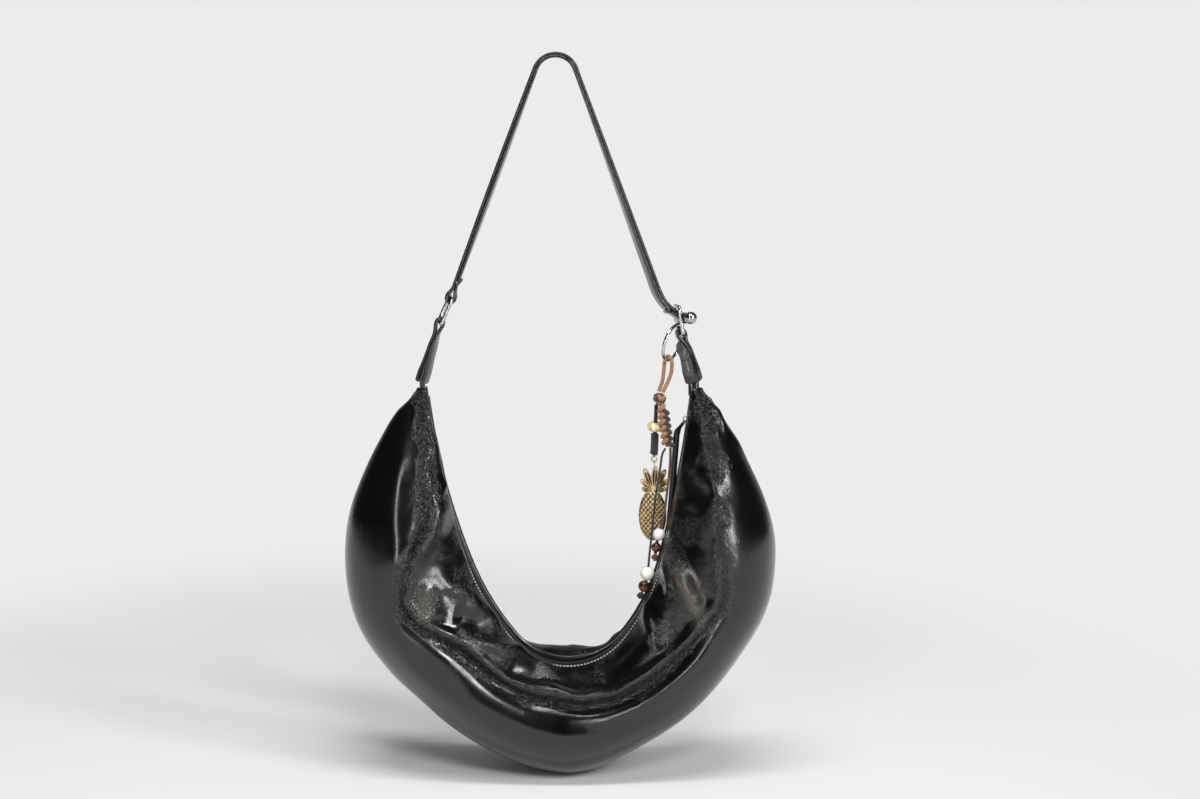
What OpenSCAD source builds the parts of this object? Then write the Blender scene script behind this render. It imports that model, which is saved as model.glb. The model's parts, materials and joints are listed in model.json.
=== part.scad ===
// Half moon shoulder bag in glossy black leather, with a knotted cord charm.
// Millimetres: X runs to the right, Y away from the viewer and Z up.
// The origin is the centre of the round peg that the strap hangs from.

/* [Mouth] */
// Height of the lowest point of the mouth, below the peg
mouth_drop = 517.5; // [500:0.5:530]
// Sideways place of the lowest point of the mouth
mouth_low_x = 10; // [4:0.5:16]
// Radius of the mouth's round bottom
mouth_low_r = 60; // [56:0.5:64]
// Radius of the left side above the round bottom
mouth_left_r = 240; // [225:1:255]
// Radius of the top of the left side
mouth_left_top_r = 569; // [550:1:590]
// Radius of the right side above the round bottom
mouth_right_r = 170; // [160:1:180]
// Radius of the top of the right side, where the zip slider runs
mouth_right_top_r = 1030; // [1000:1:1060]
// Turn of each side of the round bottom, in degrees
mouth_low_turn = 50; // [48:0.5:52]
// Half of the open width between the two lips
lip_half = 14; // [13.5:0.1:16]

/* [Bag body] */
// Width of the crescent, from the lips to the outer seam
limb_w = 105; // [95:0.5:115]
// Half of the greatest depth, front to back
belly_half = 56; // [48:0.5:62]
// Thickness of the outer leather
leather_t = 1.6; // [1.2:0.1:2]
// Thickness of the lining cloth
lining_t = 0.5; // [0.4:0.1:0.8]
// Gap between the leather and its lining
lining_gap = 0.3; // [0.3:0.1:0.8]
// Thickness of the lip binding
binding_t = 1.2; // [0.8:0.1:1.3]
// Depth of the lip binding
binding_d = 8; // [7.2:0.1:10]
// Thickness of the welt in the outer seam
welt_t = 1; // [0.6:0.1:1.4]
// How far the welt reaches into the seam
welt_d = 4; // [3:0.1:5]
// How far the welt stands proud of the seam
welt_proud = 0.6; // [0.3:0.1:1]

/* [Zip] */
// Depth of the zip below the lips
zip_recess = 6; // [5.8:0.1:6.6]
// Thickness of the zip tape
tape_t = 0.7; // [0.5:0.1:0.9]
// Width of the row of teeth
chain_w = 4.4; // [4:0.1:4.8]
// Thickness of the row of teeth
chain_t = 2.2; // [1.8:0.1:2.3]
// Length of the slider
slider_l = 12; // [10:0.1:13]
// Thickness of the slider's plate
slider_t = 1.3; // [1:0.1:1.4]
// Radius of the wire of the slider's bridge and pull ring
pull_wire_r = 0.55; // [0.45:0.01:0.6]
// Radius of the pull ring, to the middle of its wire
pull_ring_r = 3.2; // [3:0.05:3.4]
// Width of the leather pull
pull_w = 5.6; // [4.8:0.1:5.8]
// Thickness of the leather pull
pull_t = 1.2; // [1:0.1:1.2]

/* [Strap] */
// Radius of the peg that the crown of the strap fits
peg_r = 16; // [14:0.5:18]
// Width of the strap
strap_w = 14; // [12:0.1:14.4]
// Thickness of one ply of the strap
ply_t = 2.4; // [2:0.1:2.6]
// Gap between the two plies, where the glue lies
ply_gap = 0.1; // [0.1:0.05:0.3]
// Length of the folded lap at each end of the strap
lap_l = 17; // [14:0.5:20]

/* [Rings and tabs] */
// Radius of the wire of the clasp rings
ring_wire_r = 1.5; // [1.3:0.05:1.6]
// Width of a clasp ring, to the middle of its wire
ring_w = 20; // [19.6:0.1:21]
// Height of a clasp ring, to the middle of its wire
ring_h = 24; // [23.5:0.1:25]
// Radius of a clasp ring's corners, to the middle of its wire
ring_corner_r = 3; // [2.5:0.1:3.2]
// Thickness of one ply of a tab
tab_ply_t = 2.2; // [1.8:0.1:2.3]
// Width of the left tab
left_tab_w = 13; // [12:0.1:13]
// Width of the right tab
right_tab_w = 13; // [12:0.1:13]
// Width of the right tab's eye, which leaves room for the charm ring beside it
right_eye_w = 9; // [8:0.1:9]
// Length of the left tab, from its pivot to the ring
left_tab_l = 52.5; // [50:0.5:56]
// Length of the right tab, from its pivot to the ring
right_tab_l = 42.2; // [41:0.2:44]
// Radius of the leather tongue at each tip of the bag
tongue_r = 6; // [5.5:0.1:6]
// Thickness of the leather tongue
tongue_t = 4; // [3:0.1:4.4]
// Height of the tongue's pivot above the end of the bag
tongue_reach = 7.1; // [6.9:0.1:8]

/* [Toggle] */
// Radius of the toggle bar
bar_r = 2; // [1.8:0.05:2.1]
// Running gap round the toggle bar
bar_gap = 0.06; // [0.03:0.01:0.09]
// Distance of each ball from the middle of the bar
ball_place = 17.2; // [16.6:0.1:18]
// Radius of the balls
ball_r = 5.5; // [5:0.1:5.6]

/* [Charm] */
// Radius of the charm ring, to the middle of its wire
charm_ring_r = 16.45; // [16.4:0.01:16.5]
// Radius of the wire of the charm ring
charm_wire_r = 1.5; // [1.2:0.05:1.6]
// Radius of the loop cord
loop_cord_r = 1.7; // [1.5:0.05:1.8]
// Radius of the button knot
button_r = 6.1; // [5.6:0.1:6.3]
// Radius of the braid over its bumps
braid_r = 4.75; // [4.4:0.05:4.9]
// Radius of the ring bead
ring_bead_r = 6.8; // [6.4:0.1:6.9]
// Height of the ring bead
ring_bead_h = 8.2; // [7.6:0.1:8.4]
// Radius of the wrapped cord
wrap_r = 3.6; // [3.3:0.05:3.8]
// Half width of the pineapple's body
pine_half_w = 12.5; // [11.5:0.1:12.6]
// Half height of the pineapple's body
pine_half_h = 23; // [21:0.1:23.2]
// Half thickness of the pineapple's body
pine_half_t = 2.8; // [2.2:0.05:2.8]
// Radius of the dark hanging cord
cord_a_r = 1; // [0.9:0.05:1.1]
// Radius of the brown hanging cord
cord_b_r = 1.1; // [1:0.05:1.2]
// Radius of the larger white bead
white_bead_a_r = 6.4; // [6:0.1:6.4]
// Radius of the smaller white bead
white_bead_b_r = 5.6; // [5.2:0.1:5.6]
// Radius of the larger wooden bead
wood_bead_a_r = 5.3; // [5:0.1:5.3]
// Radius of the smaller wooden bead
wood_bead_b_r = 4.4; // [4.2:0.1:4.6]

/* [Hidden] */
$fn = 48;

seat_gap = 0.3;
cut_over = 1;

// Angles of the mouth's upper arcs
left_turn = 18;
left_top_turn = 16.62;
right_turn = 25;
right_top_turn = 9;

// Shape of the crescent: shares at even steps from the bottom of the mouth to a tip
left_width_shares = [0.97, 0.92, 0.97, 1.04, 1.085, 1.05, 0.955, 0.815, 0.6, 0.365, 0.14];
right_width_shares = [0.97, 0.87, 0.9, 0.935, 0.985, 0.965, 0.89, 0.735, 0.53, 0.31, 0.092];
depth_shares = [0.98, 1, 1, 1, 0.98, 0.93, 0.83, 0.69, 0.5, 0.3, 0.12];
lip_shares = [1, 1, 1, 1, 1, 1, 1, 0.98, 0.94, 0.85, 0.45];

// Rows of a panel from its lip to the outer seam
row_shares = [0, 0.04, 0.12, 0.21, 0.3, 0.39, 0.48, 0.58, 0.68, 0.78, 0.88, 0.96, 1];
panel_steps = 44;
middle_step_share = 0.6;
seam_half = 0.8;

// The slack front sinks in between the flap and the stuffed lower part
valley_share = 0.1;
valley_place_share = 0.36;
valley_width_share = 0.1;
valley_reach_share = 0.55;

// Frame of the mouth
function arc_len(arcs, i = 0) = i == len(arcs) ? 0 : arcs[i][0] * arcs[i][1] * PI / 180 + arc_len(arcs, i + 1);
function arc_walk(arcs, s, i = 0, a = 0, x = 0, z = 0) =
    let (r = arcs[i][0], run = r * arcs[i][1] * PI / 180, last = i == len(arcs) - 1,
         d = last ? s : min(s, run), b = a + d / r * 180 / PI,
         nx = x + r * (sin(b) - sin(a)), nz = z + r * (cos(a) - cos(b)))
    (last || s <= run) ? [nx, nz, b] : arc_walk(arcs, s - run, i + 1, b, nx, nz);
left_arcs = [[mouth_low_r, mouth_low_turn], [mouth_left_r, left_turn], [mouth_left_top_r, left_top_turn]];
right_arcs = [[mouth_low_r, mouth_low_turn], [mouth_right_r, right_turn], [mouth_right_top_r, right_top_turn]];
left_len = arc_len(left_arcs);
right_len = arc_len(right_arcs);

// Point and outward direction of the mouth at t, from -1 at the left tip to 1 at the right tip
function mouth(t) =
    let (side = t < 0 ? -1 : 1, m = arc_walk(t < 0 ? left_arcs : right_arcs, abs(t) * (t < 0 ? left_len : right_len)))
    [mouth_low_x + side * m[0], m[1] - mouth_drop, side * sin(m[2]), -cos(m[2])];

function spline(v, u) =
    let (n = len(v) - 1, k = min(floor(u * n), n - 1), f = u * n - k,
         a = v[max(k - 1, 0)], b = v[k], c = v[k + 1], d = v[min(k + 2, n)])
    b + f * (c - a) / 2 + f * f * (a - 2.5 * b + 2 * c - d / 2) + f * f * f * (1.5 * (b - c) + (d - a) / 2);
function width(t) = limb_w * spline(t < 0 ? left_width_shares : right_width_shares, abs(t));
function depth(t) = belly_half * spline(depth_shares, abs(t));
function lip(t) = lip_half * spline(lip_shares, abs(t));
// A place of the bag: t along the mouth, a outward from it and y to the back
function place(t, a, y) = let (m = mouth(t)) [m[0] + m[2] * a, y, m[1] + m[3] * a];

function gauss(x, w) = exp(-pow(x / w, 2));
function skin(t, p, side) =
    let (d = depth(t) - seam_half, edge = asin(min(0.98, (lip(t) - seam_half) / d)), q = edge + (180 - edge) * p,
         a = width(t) * (cos(edge) - cos(q)) / (1 + cos(edge)),
         sink = side < 0 ? valley_share * gauss(p - valley_place_share, valley_width_share)
                         * gauss(t, valley_reach_share) : 0)
    place(t, a, side * (seam_half + d * sin(q) * (1 - sink)));
function unit(v) = v / norm(v);
diff_step = 0.004;
function inward(t, p, side) =
    let (t0 = max(-1, t - diff_step), t1 = min(1, t + diff_step), p0 = max(0, p - diff_step), p1 = min(1, p + diff_step))
    -side * unit(cross(skin(t1, p, side) - skin(t0, p, side), skin(t, p1, side) - skin(t, p0, side)));
function layer(side, off, rows) =
    [for (i = [0:panel_steps]) for (p = rows)
        let (u = 2 * i / panel_steps - 1, t = u * (middle_step_share + (1 - middle_step_share) * abs(u)))
        skin(t, p, side) + off * inward(t, p, side)];

// Solid between two grids of n + 1 by m + 1 points; turned is true where the faces are to be turned round
function quad(a, b, c, d, turned) = turned ? [[c, b, a], [d, c, a]] : [[a, b, c], [a, c, d]];
function join(lists) = [for (l = lists) for (x = l) x];
module slab(outer, inner, n, m, turned) {
    k = (n + 1) * (m + 1);
    at = function (i, j) i * (m + 1) + j;
    polyhedron(concat(outer, inner), join([
        for (i = [0:n - 1]) for (j = [0:m - 1])
            quad(at(i, j), at(i + 1, j), at(i + 1, j + 1), at(i, j + 1), turned),
        for (i = [0:n - 1]) for (j = [0:m - 1])
            quad(k + at(i, j), k + at(i, j + 1), k + at(i + 1, j + 1), k + at(i + 1, j), turned),
        for (i = [0:n - 1]) quad(at(i + 1, 0), at(i, 0), k + at(i, 0), k + at(i + 1, 0), turned),
        for (i = [0:n - 1]) quad(at(i, m), at(i + 1, m), k + at(i + 1, m), k + at(i, m), turned),
        for (j = [0:m - 1]) quad(at(0, j), at(0, j + 1), k + at(0, j + 1), k + at(0, j), turned),
        for (j = [0:m - 1]) quad(at(n, j + 1), at(n, j), k + at(n, j), k + at(n, j + 1), turned)
    ]));
}
module panel(side, near, far, rows) {
    slab(layer(side, near, rows), layer(side, far, rows), panel_steps, len(rows) - 1, side > 0);
}

// Solid through rings of points, each ring counter-clockwise about the way along
module loft(rings) {
    n = len(rings) - 1;
    k = len(rings[0]);
    polyhedron(join(rings), concat(
        join([for (i = [0:n - 1]) for (j = [0:k - 1])
            quad(i * k + j, (i + 1) * k + j, (i + 1) * k + (j + 1) % k, i * k + (j + 1) % k, false)]),
        [[for (j = [0:k - 1]) j], [for (j = [k - 1:-1:0]) n * k + j]]));
}

// Flat strip that follows the mouth, between two depths and two places front to back
module mouth_strip(steps, from, to, a0, a1, y0, y1) {
    loft([for (i = [0:steps]) let (t = from + (to - from) * i / steps)
        [place(t, a1(t), y0(t)), place(t, a0(t), y0(t)), place(t, a0(t), y1(t)), place(t, a1(t), y1(t))]]);
}

// Strip along points with a width direction for each, between two offsets across its thickness
function tangents(points) = [for (i = [0:len(points) - 1])
    unit(points[min(i + 1, len(points) - 1)] - points[max(i - 1, 0)])];
module ribbon(points, sides, half_widths, lows, highs) {
    ts = tangents(points);
    loft([for (i = [0:len(points) - 1])
        let (s = unit(sides[i] - ts[i] * (ts[i] * sides[i])), n = cross(ts[i], s), p = points[i], w = half_widths[i])
        [p - w * s + lows[i] * n, p + w * s + lows[i] * n, p + w * s + highs[i] * n, p - w * s + highs[i] * n]]);
}
function constant(v, n) = [for (i = [1:n]) v];

// Cord along a route
function route_point(v, i, f) =
    let (n = len(v) - 1, a = v[max(i - 1, 0)], b = v[i], c = v[i + 1], d = v[min(i + 2, n)])
    b + f * (c - a) / 2 + f * f * (a - 2.5 * b + 2 * c - d / 2) + f * f * f * (1.5 * (b - c) + (d - a) / 2);
function smooth_route(v, steps) = concat(
    [for (i = [0:len(v) - 2]) for (k = [0:steps - 1]) route_point(v, i, k / steps)], [v[len(v) - 1]]);
cord_sides = 8;
module cord(route, r, steps) {
    points = smooth_route(route, steps);
    ts = tangents(points);
    guide = [0, 1, 0];
    loft([for (i = [0:len(points) - 1])
        let (s = unit(cross(guide, ts[i])), n = cross(ts[i], s))
        [for (j = [0:cord_sides - 1]) points[i] + r * (cos(360 * j / cord_sides) * s + sin(360 * j / cord_sides) * n)]]);
}

// Places a child that stands on +Z at one point so that it runs towards another
module along(p, q) {
    d = q - p;
    translate(p) rotate([0, acos(d[2] / norm(d)), atan2(d[1], d[0])]) children();
}
module tube(outer_r, inner_r, l) {
    difference() {
        cylinder(h = l, r = outer_r, center = true);
        cylinder(h = l + 2 * cut_over, r = inner_r, center = true);
    }
}
module torus(ring, wire) {
    rotate_extrude() translate([ring, 0]) circle(wire);
}

// Bag body
module front_panel() color("#17171a") panel(-1, 0, leather_t, row_shares);
module back_panel() color("#17171a") panel(1, 0, leather_t, row_shares);
lining_rows = [for (i = [1:len(row_shares) - 2]) row_shares[i]];
lining_off = leather_t + lining_gap;
module front_lining() color("#3a3733") panel(-1, lining_off, lining_off + lining_t, lining_rows);
module back_lining() color("#3a3733") panel(1, lining_off, lining_off + lining_t, lining_rows);

mouth_steps = 56;
mouth_end_share = 0.97;
binding_top = 0.4;
binding_out = function (t) lip(t) - leather_t * abs(inward(t, 0, 1)[1]) - seat_gap;
binding_in = function (t) binding_out(t) - binding_t;
module lip_binding(side) {
    mouth_strip(mouth_steps, -mouth_end_share, mouth_end_share,
        function (t) binding_top, function (t) binding_d,
        function (t) side < 0 ? -binding_out(t) : binding_in(t),
        function (t) side < 0 ? -binding_in(t) : binding_out(t));
}
module front_lip_binding() color("#202024") lip_binding(-1);
module back_lip_binding() color("#202024") lip_binding(1);

welt_end_share = 0.99;
module outer_seam_welt() color("#101012") mouth_strip(mouth_steps, -welt_end_share, welt_end_share,
    function (t) width(t) - welt_d, function (t) width(t) + welt_proud,
    function (t) -welt_t / 2, function (t) welt_t / 2);

// Zip
chain_half = chain_w / 2;
tape_in = chain_half + seat_gap;
module zip_tape(side) {
    mouth_strip(mouth_steps, -mouth_end_share, mouth_end_share,
        function (t) zip_recess - tape_t / 2, function (t) zip_recess + tape_t / 2,
        function (t) side < 0 ? -binding_in(t) + seat_gap : tape_in,
        function (t) side < 0 ? -tape_in : binding_in(t) - seat_gap);
}
module zip_tape_front() color("#0c0c0d") zip_tape(-1);
module zip_tape_back() color("#0c0c0d") zip_tape(1);
chain_end_share = 0.95;
module zip_chain() color("#b9bcc0") mouth_strip(mouth_steps, -chain_end_share, chain_end_share,
    function (t) zip_recess - chain_t / 2, function (t) zip_recess + chain_t / 2,
    function (t) -chain_half, function (t) chain_half);
stop_l_share = 0.012;
module zip_stop(side) {
    from = side * (chain_end_share + 0.002) - (side < 0 ? stop_l_share : 0);
    mouth_strip(2, from, from + stop_l_share,
        function (t) zip_recess - chain_t / 2, function (t) zip_recess + chain_t / 2,
        function (t) -chain_half, function (t) chain_half);
}
module zip_stop_left() color("#c8cacd") zip_stop(-1);
module zip_stop_right() color("#c8cacd") zip_stop(1);

// The slider stands near the right tip, in a frame with X outward from the mouth and Z up along it
slider_share = 0.9;
slider_at = mouth(slider_share);
slider_top = zip_recess - chain_t / 2 - 0.4 - slider_t;
bridge_out = 2.3;
bridge_half = 2;
flange_t = 0.8;
ring_out = 0.9;
module at_slider() {
    translate([slider_at[0], 0, slider_at[1]])
        rotate([0, atan2(-slider_at[3], slider_at[2]), 0]) children();
}
module zip_slider() color("#c9ccd0") at_slider() {
    slider_half = chain_half + 0.4 + flange_t;
    translate([slider_top, -slider_half, -slider_l / 2]) cube([slider_t, 2 * slider_half, slider_l]);
    for (side = [-1, 1])
        translate([slider_top, side * (slider_half - flange_t / 2) - flange_t / 2, -slider_l / 2])
            cube([zip_recess - tape_t / 2 - 0.35 - slider_top, flange_t, slider_l]);
    for (side = [-1, 1])
        translate([slider_top - bridge_out, side * (bridge_half + pull_wire_r), 0])
            rotate([0, 90, 0]) cylinder(h = bridge_out + slider_t / 2, r = pull_wire_r);
    translate([slider_top - bridge_out, 0, 0]) rotate([90, 0, 0])
        cylinder(h = 2 * (bridge_half + 2 * pull_wire_r), r = pull_wire_r, center = true);
}
// Middle of the pull ring, outward from the mouth
pull_ring_out = slider_top - (bridge_out - pull_wire_r) / 2 - pull_ring_r;
module zip_pull_ring() color("#d2d4d7") at_slider()
    translate([pull_ring_out, 0, 0]) rotate([90, 0, 0]) torus(pull_ring_r, pull_wire_r);

// The pull hangs from the lower left of its ring, behind the charm
pull_eye_turn = 225;
pull_eye_l = 2.6;
pull_eye_in_r = pull_wire_r * 2;
pull_eye_r = pull_eye_in_r + 0.8;
pull_neck_w = 3;
slider_lean = atan2(-slider_at[3], slider_at[2]);
pull_ring_at = [slider_at[0] + pull_ring_out * cos(slider_lean), 0, slider_at[1] - pull_ring_out * sin(slider_lean)];
pull_dir = [cos(pull_eye_turn), 0, sin(pull_eye_turn)];
pull_eye_at = pull_ring_at + pull_ring_r * pull_dir;
// Route of the pull from the ring, down and back, measured from the pull's eye
pull_route = [[-1.1, 0, -1.1], [-3.2, 2.4, -4.4], [-5.4, 6.4, -8.6], [-6.6, 9, -13], [-7, 9.9, -20],
    [-9.8, 9.9, -58], [-12.9, 9.9, -96.6]];
module zip_pull_strip() color("#141416") {
    translate(pull_eye_at) rotate([0, -pull_eye_turn, 0]) tube(pull_eye_r, pull_eye_in_r, pull_eye_l);
    n = len(pull_route);
    ribbon([for (p = pull_route) pull_eye_at + p], constant([1, 0, -0.2], n),
        [for (i = [0:n - 1]) (i < 2 ? pull_neck_w : i < 3 ? (pull_neck_w + pull_w) / 2 : pull_w) / 2],
        constant(-pull_t / 2, n), constant(pull_t / 2, n));
}

// Tips, tabs and clasp rings
left_tip = mouth(-1);
right_tip = mouth(1);
left_tongue_in = 4;
right_tongue_in = 1.5;
swing_z = max(left_tip[1], right_tip[1]) + tongue_reach;
left_pivot = [left_tip[0] + left_tip[2] * left_tongue_in, 0, swing_z];
right_pivot = [right_tip[0] + right_tip[2] * right_tongue_in, 0, swing_z];
tongue_neck_w = 7.4;
tongue_root = 7;
module tongue(pivot, tip_z) {
    translate(pivot) rotate([0, 90, 0]) cylinder(h = tongue_t, r = tongue_r, center = true);
    translate([pivot[0] - tongue_t / 2, -tongue_neck_w / 2, tip_z - tongue_root])
        cube([tongue_t, tongue_neck_w, pivot[2] - tip_z + tongue_root]);
}
module left_tip_tongue() color("#151517") tongue(left_pivot, left_tip[1]);
module right_tip_tongue() color("#151517") tongue(right_pivot, right_tip[1]);

left_tab_lean = 17.5;
right_tab_lean = -15.7;
left_ring_lean = 24;
right_ring_lean = -8;
right_ring_turn = 10;
left_ring_low = left_pivot + left_tab_l * [sin(left_tab_lean), 0, cos(left_tab_lean)];
right_ring_low = right_pivot + right_tab_l * [sin(right_tab_lean), 0, cos(right_tab_lean)];
left_ring_top = left_ring_low + ring_h * [sin(left_ring_lean), 0, cos(left_ring_lean)];
right_ring_mid = right_ring_low + ring_h / 2 * [sin(right_ring_lean), 0, cos(right_ring_lean)];
right_ring_axis = [-sin(right_ring_turn) * cos(right_ring_lean), cos(right_ring_turn),
    sin(right_ring_turn) * sin(right_ring_lean)];

// Rounded oblong ring that stands in the YZ plane on the middle of its lower wire
module clasp_ring() {
    y = ring_w / 2 - ring_corner_r;
    z = ring_h / 2 - ring_corner_r;
    translate([0, 0, ring_h / 2]) {
        for (s = [-1, 1]) {
            translate([0, 0, s * ring_h / 2]) rotate([90, 0, 0]) cylinder(h = 2 * y, r = ring_wire_r, center = true);
            translate([0, s * ring_w / 2, 0]) cylinder(h = 2 * z, r = ring_wire_r, center = true);
        }
        for (i = [0:3])
            translate([0, (i == 0 || i == 3 ? y : -y), (i < 2 ? z : -z)]) rotate([i * 90, 0, 0]) rotate([90, 0, 90])
                rotate_extrude(angle = 90) translate([ring_corner_r, 0]) circle(ring_wire_r);
    }
}
module left_ring() color("#c4c7cb") translate(left_ring_low) rotate([0, left_ring_lean, 0]) clasp_ring();
module right_ring() color("#c4c7cb") translate(right_ring_low)
    rotate([0, right_ring_lean, 0]) rotate([0, 0, right_ring_turn]) clasp_ring();

// A tab: a leather eye round the ring's lower wire, and two plies that hold the tongue between them
eye_in_r = ring_wire_r + 0.1;
tab_eye_r = eye_in_r + tab_ply_t;
weld = 0.6;
ply_glue = 0.15;
tab_straight = 7.5;
tab_steps = 10;
function bezier(a, b, c, d, u) = pow(1 - u, 3) * a + 3 * u * pow(1 - u, 2) * b + 3 * u * u * (1 - u) * c + u * u * u * d;
cheek_off = tongue_t / 2 + seat_gap + tab_ply_t / 2;
module tab(eye, axis, pivot, eye_w, w, turn) {
    down = unit(pivot - eye);
    start = eye + down * (eye_in_r + weld);
    knee = pivot + [0, 0, tab_straight];
    reach = norm(knee - start) / 3;
    points = concat([for (k = [0:tab_steps]) bezier(start, start + reach * down, knee + [0, 0, reach], knee, k / tab_steps)],
        [pivot]);
    n = len(points);
    run = [for (k = [0:n - 1]) min(1, k / tab_steps)];
    sides = [for (u = run) unit((1 - u) * axis + u * [0, 1, 0] + [-sin(turn * sin(180 * u)), 0, 0])];
    joined = tab_ply_t / 2 - ply_glue;
    offs = [for (u = run) joined + (cheek_off - joined) * pow(u, 3)];
    along(eye, eye + axis) tube(tab_eye_r, eye_in_r, eye_w);
    for (s = [-1, 1]) {
        ribbon(points, sides, [for (u = run) (eye_w + (w - eye_w) * u) / 2],
            [for (o = offs) s * o - tab_ply_t / 2], [for (o = offs) s * o + tab_ply_t / 2]);
        translate(pivot + [s * cheek_off, 0, 0]) rotate([0, 90, 0])
            cylinder(h = tab_ply_t, r = w / 2, center = true);
    }
}
right_tab_turn = 25;
module left_tab() color("#1b1b1e") tab(left_ring_low, [0, 1, 0], left_pivot, left_tab_w, left_tab_w, 0);
module right_tab() color("#2a2a2e") tab(right_ring_low, right_ring_axis, right_pivot, right_eye_w, right_tab_w, right_tab_turn);

// Toggle: a bar with two balls behind the clasp ring, turned a little to the right at its front end
bar_turn = 14;
bar_tilt = 8;
bar_out = 5.6;
bar_up = 1;
bar_at = right_ring_mid + [bar_out, 0, bar_up];
bar_axis = [-sin(bar_turn) * cos(bar_tilt), cos(bar_turn) * cos(bar_tilt), -sin(bar_tilt)];
collar_r = 2.7;
collar_l = 1.6;
module toggle_bar() color("#bfc2c6") along(bar_at - bar_axis * (ball_place - ball_r), bar_at + bar_axis) {
    cylinder(h = 2 * (ball_place - ball_r), r = bar_r);
    cylinder(h = collar_l, r = collar_r);
    translate([0, 0, 2 * (ball_place - ball_r) - collar_l]) cylinder(h = collar_l, r = collar_r);
}
ball_seat_r = 2.4;
module toggle_ball(side) {
    along(bar_at + side * bar_axis * (ball_place - ball_r), bar_at + side * bar_axis * ball_place)
        intersection() {
            translate([0, 0, ball_r]) sphere(ball_r);
            cylinder(h = 2 * ball_r, r = ball_r + cut_over);
        }
}
module toggle_front_ball() color("#8f9499") toggle_ball(-1);
module toggle_rear_ball() color("#8f9499") toggle_ball(1);

// Strap: its crown is a true arc round the peg, and each leg runs on from it
crown_r = peg_r + ply_t + ply_gap / 2;
bar_eye_in_r = bar_r + bar_gap;
right_knee = bar_at + [-26.9, 0, 27.5];
function lean_to(x, z) = acos(crown_r / norm([x, z])) + atan2(z, x);
right_leg_turn = lean_to(right_knee[0], right_knee[2]);
left_leg_turn = lean_to(-left_ring_top[0], left_ring_top[2]);
right_leg_top = crown_r * [cos(right_leg_turn), 0, sin(right_leg_turn)];
left_leg_top = crown_r * [-cos(left_leg_turn), 0, sin(left_leg_turn)];
right_leg_dir = unit(right_knee - right_leg_top);
left_leg_dir = unit(left_ring_top - left_leg_top);
right_leg_twist = 22;
left_leg_twist = 8;
bar_in_lean = 70;
bar_in_aim = [sin(bar_in_lean), 0, -cos(bar_in_lean)];
bar_in_dir = unit(bar_in_aim - bar_axis * (bar_axis * bar_in_aim));
bar_end = bar_at - bar_in_dir * (bar_eye_in_r + weld);
left_end = left_ring_top - left_leg_dir * (eye_in_r + weld);
bend_reach = 13;
leg_steps = 10;
bend_steps = 9;
// Each leg starts inside the crown and is a hair thinner, so that the two join as one piece
crown_lap = 0.6;
leg_inset = 0.04;
right_leg = concat(
    [right_leg_top - crown_lap * right_leg_dir],
    [for (k = [1:leg_steps - 1]) right_leg_top + (right_knee - right_leg_top) * k / leg_steps],
    [for (k = [0:bend_steps]) bezier(right_knee, right_knee + bend_reach * right_leg_dir,
        bar_end - bend_reach * bar_in_dir, bar_end, k / bend_steps)]);
right_sides = concat(
    [for (k = [0:leg_steps - 1]) let (a = -right_leg_twist * k / leg_steps)
        cos(a) * [0, 1, 0] + sin(a) * [-right_leg_dir[2], 0, right_leg_dir[0]]],
    [for (k = [0:bend_steps]) let (u = k / bend_steps, a = -right_leg_twist)
        unit((1 - u) * (cos(a) * [0, 1, 0] + sin(a) * [-right_leg_dir[2], 0, right_leg_dir[0]]) + u * bar_axis)]);
left_leg = concat([left_leg_top - crown_lap * left_leg_dir],
    [for (k = [1:leg_steps]) left_leg_top + (left_end - left_leg_top) * k / leg_steps]);
left_sides = [for (k = [0:leg_steps]) let (a = left_leg_twist * sin(180 * k / leg_steps))
    cos(a) * [0, 1, 0] + sin(a) * [-left_leg_dir[2], 0, left_leg_dir[0]]];
// The laps take the last points of each leg, and the inner ply stops before them
right_lap_points = 5;
left_lap_points = 1;
ply_low = ply_gap / 2;
ply_high = ply_low + ply_t;

module leg_ply(points, sides, from, to, low, high) {
    n = to - from + 1;
    ribbon([for (i = [from:to]) points[i]], [for (i = [from:to]) sides[i]], constant(strap_w / 2 - leg_inset, n),
        constant(low + leg_inset, n), constant(high - leg_inset, n));
}
module crown_ply(low, high) {
    rotate([90, 0, 0]) rotate([0, 0, right_leg_turn])
        rotate_extrude(angle = 180 - left_leg_turn - right_leg_turn, $fn = 96)
            translate([crown_r + low, -strap_w / 2]) square([high - low, strap_w]);
}
module strap_outer_ply() color("#1c1c1f") {
    crown_ply(ply_low, ply_high);
    leg_ply(right_leg, right_sides, 0, leg_steps + bend_steps, ply_low, ply_high);
    leg_ply(left_leg, left_sides, 0, leg_steps, -ply_high, -ply_low);
    leg_ply(right_leg, right_sides, leg_steps + bend_steps - right_lap_points, leg_steps + bend_steps, -ply_high, -ply_low);
    leg_ply(left_leg, left_sides, leg_steps - left_lap_points, leg_steps, ply_low, ply_high);
    along(bar_at, bar_at + bar_axis) tube(bar_eye_in_r + ply_t, bar_eye_in_r, strap_w);
    translate(left_ring_top) rotate([90, 0, 0]) tube(eye_in_r + ply_t, eye_in_r, strap_w);
}
module strap_inner_ply() color("#2c2c30") {
    crown_ply(-ply_high, -ply_low);
    leg_ply(right_leg, right_sides, 0, leg_steps + bend_steps - right_lap_points - 1, -ply_high, -ply_low);
    leg_ply(left_leg, left_sides, 0, leg_steps - left_lap_points - 1, ply_low, ply_high);
}

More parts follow.
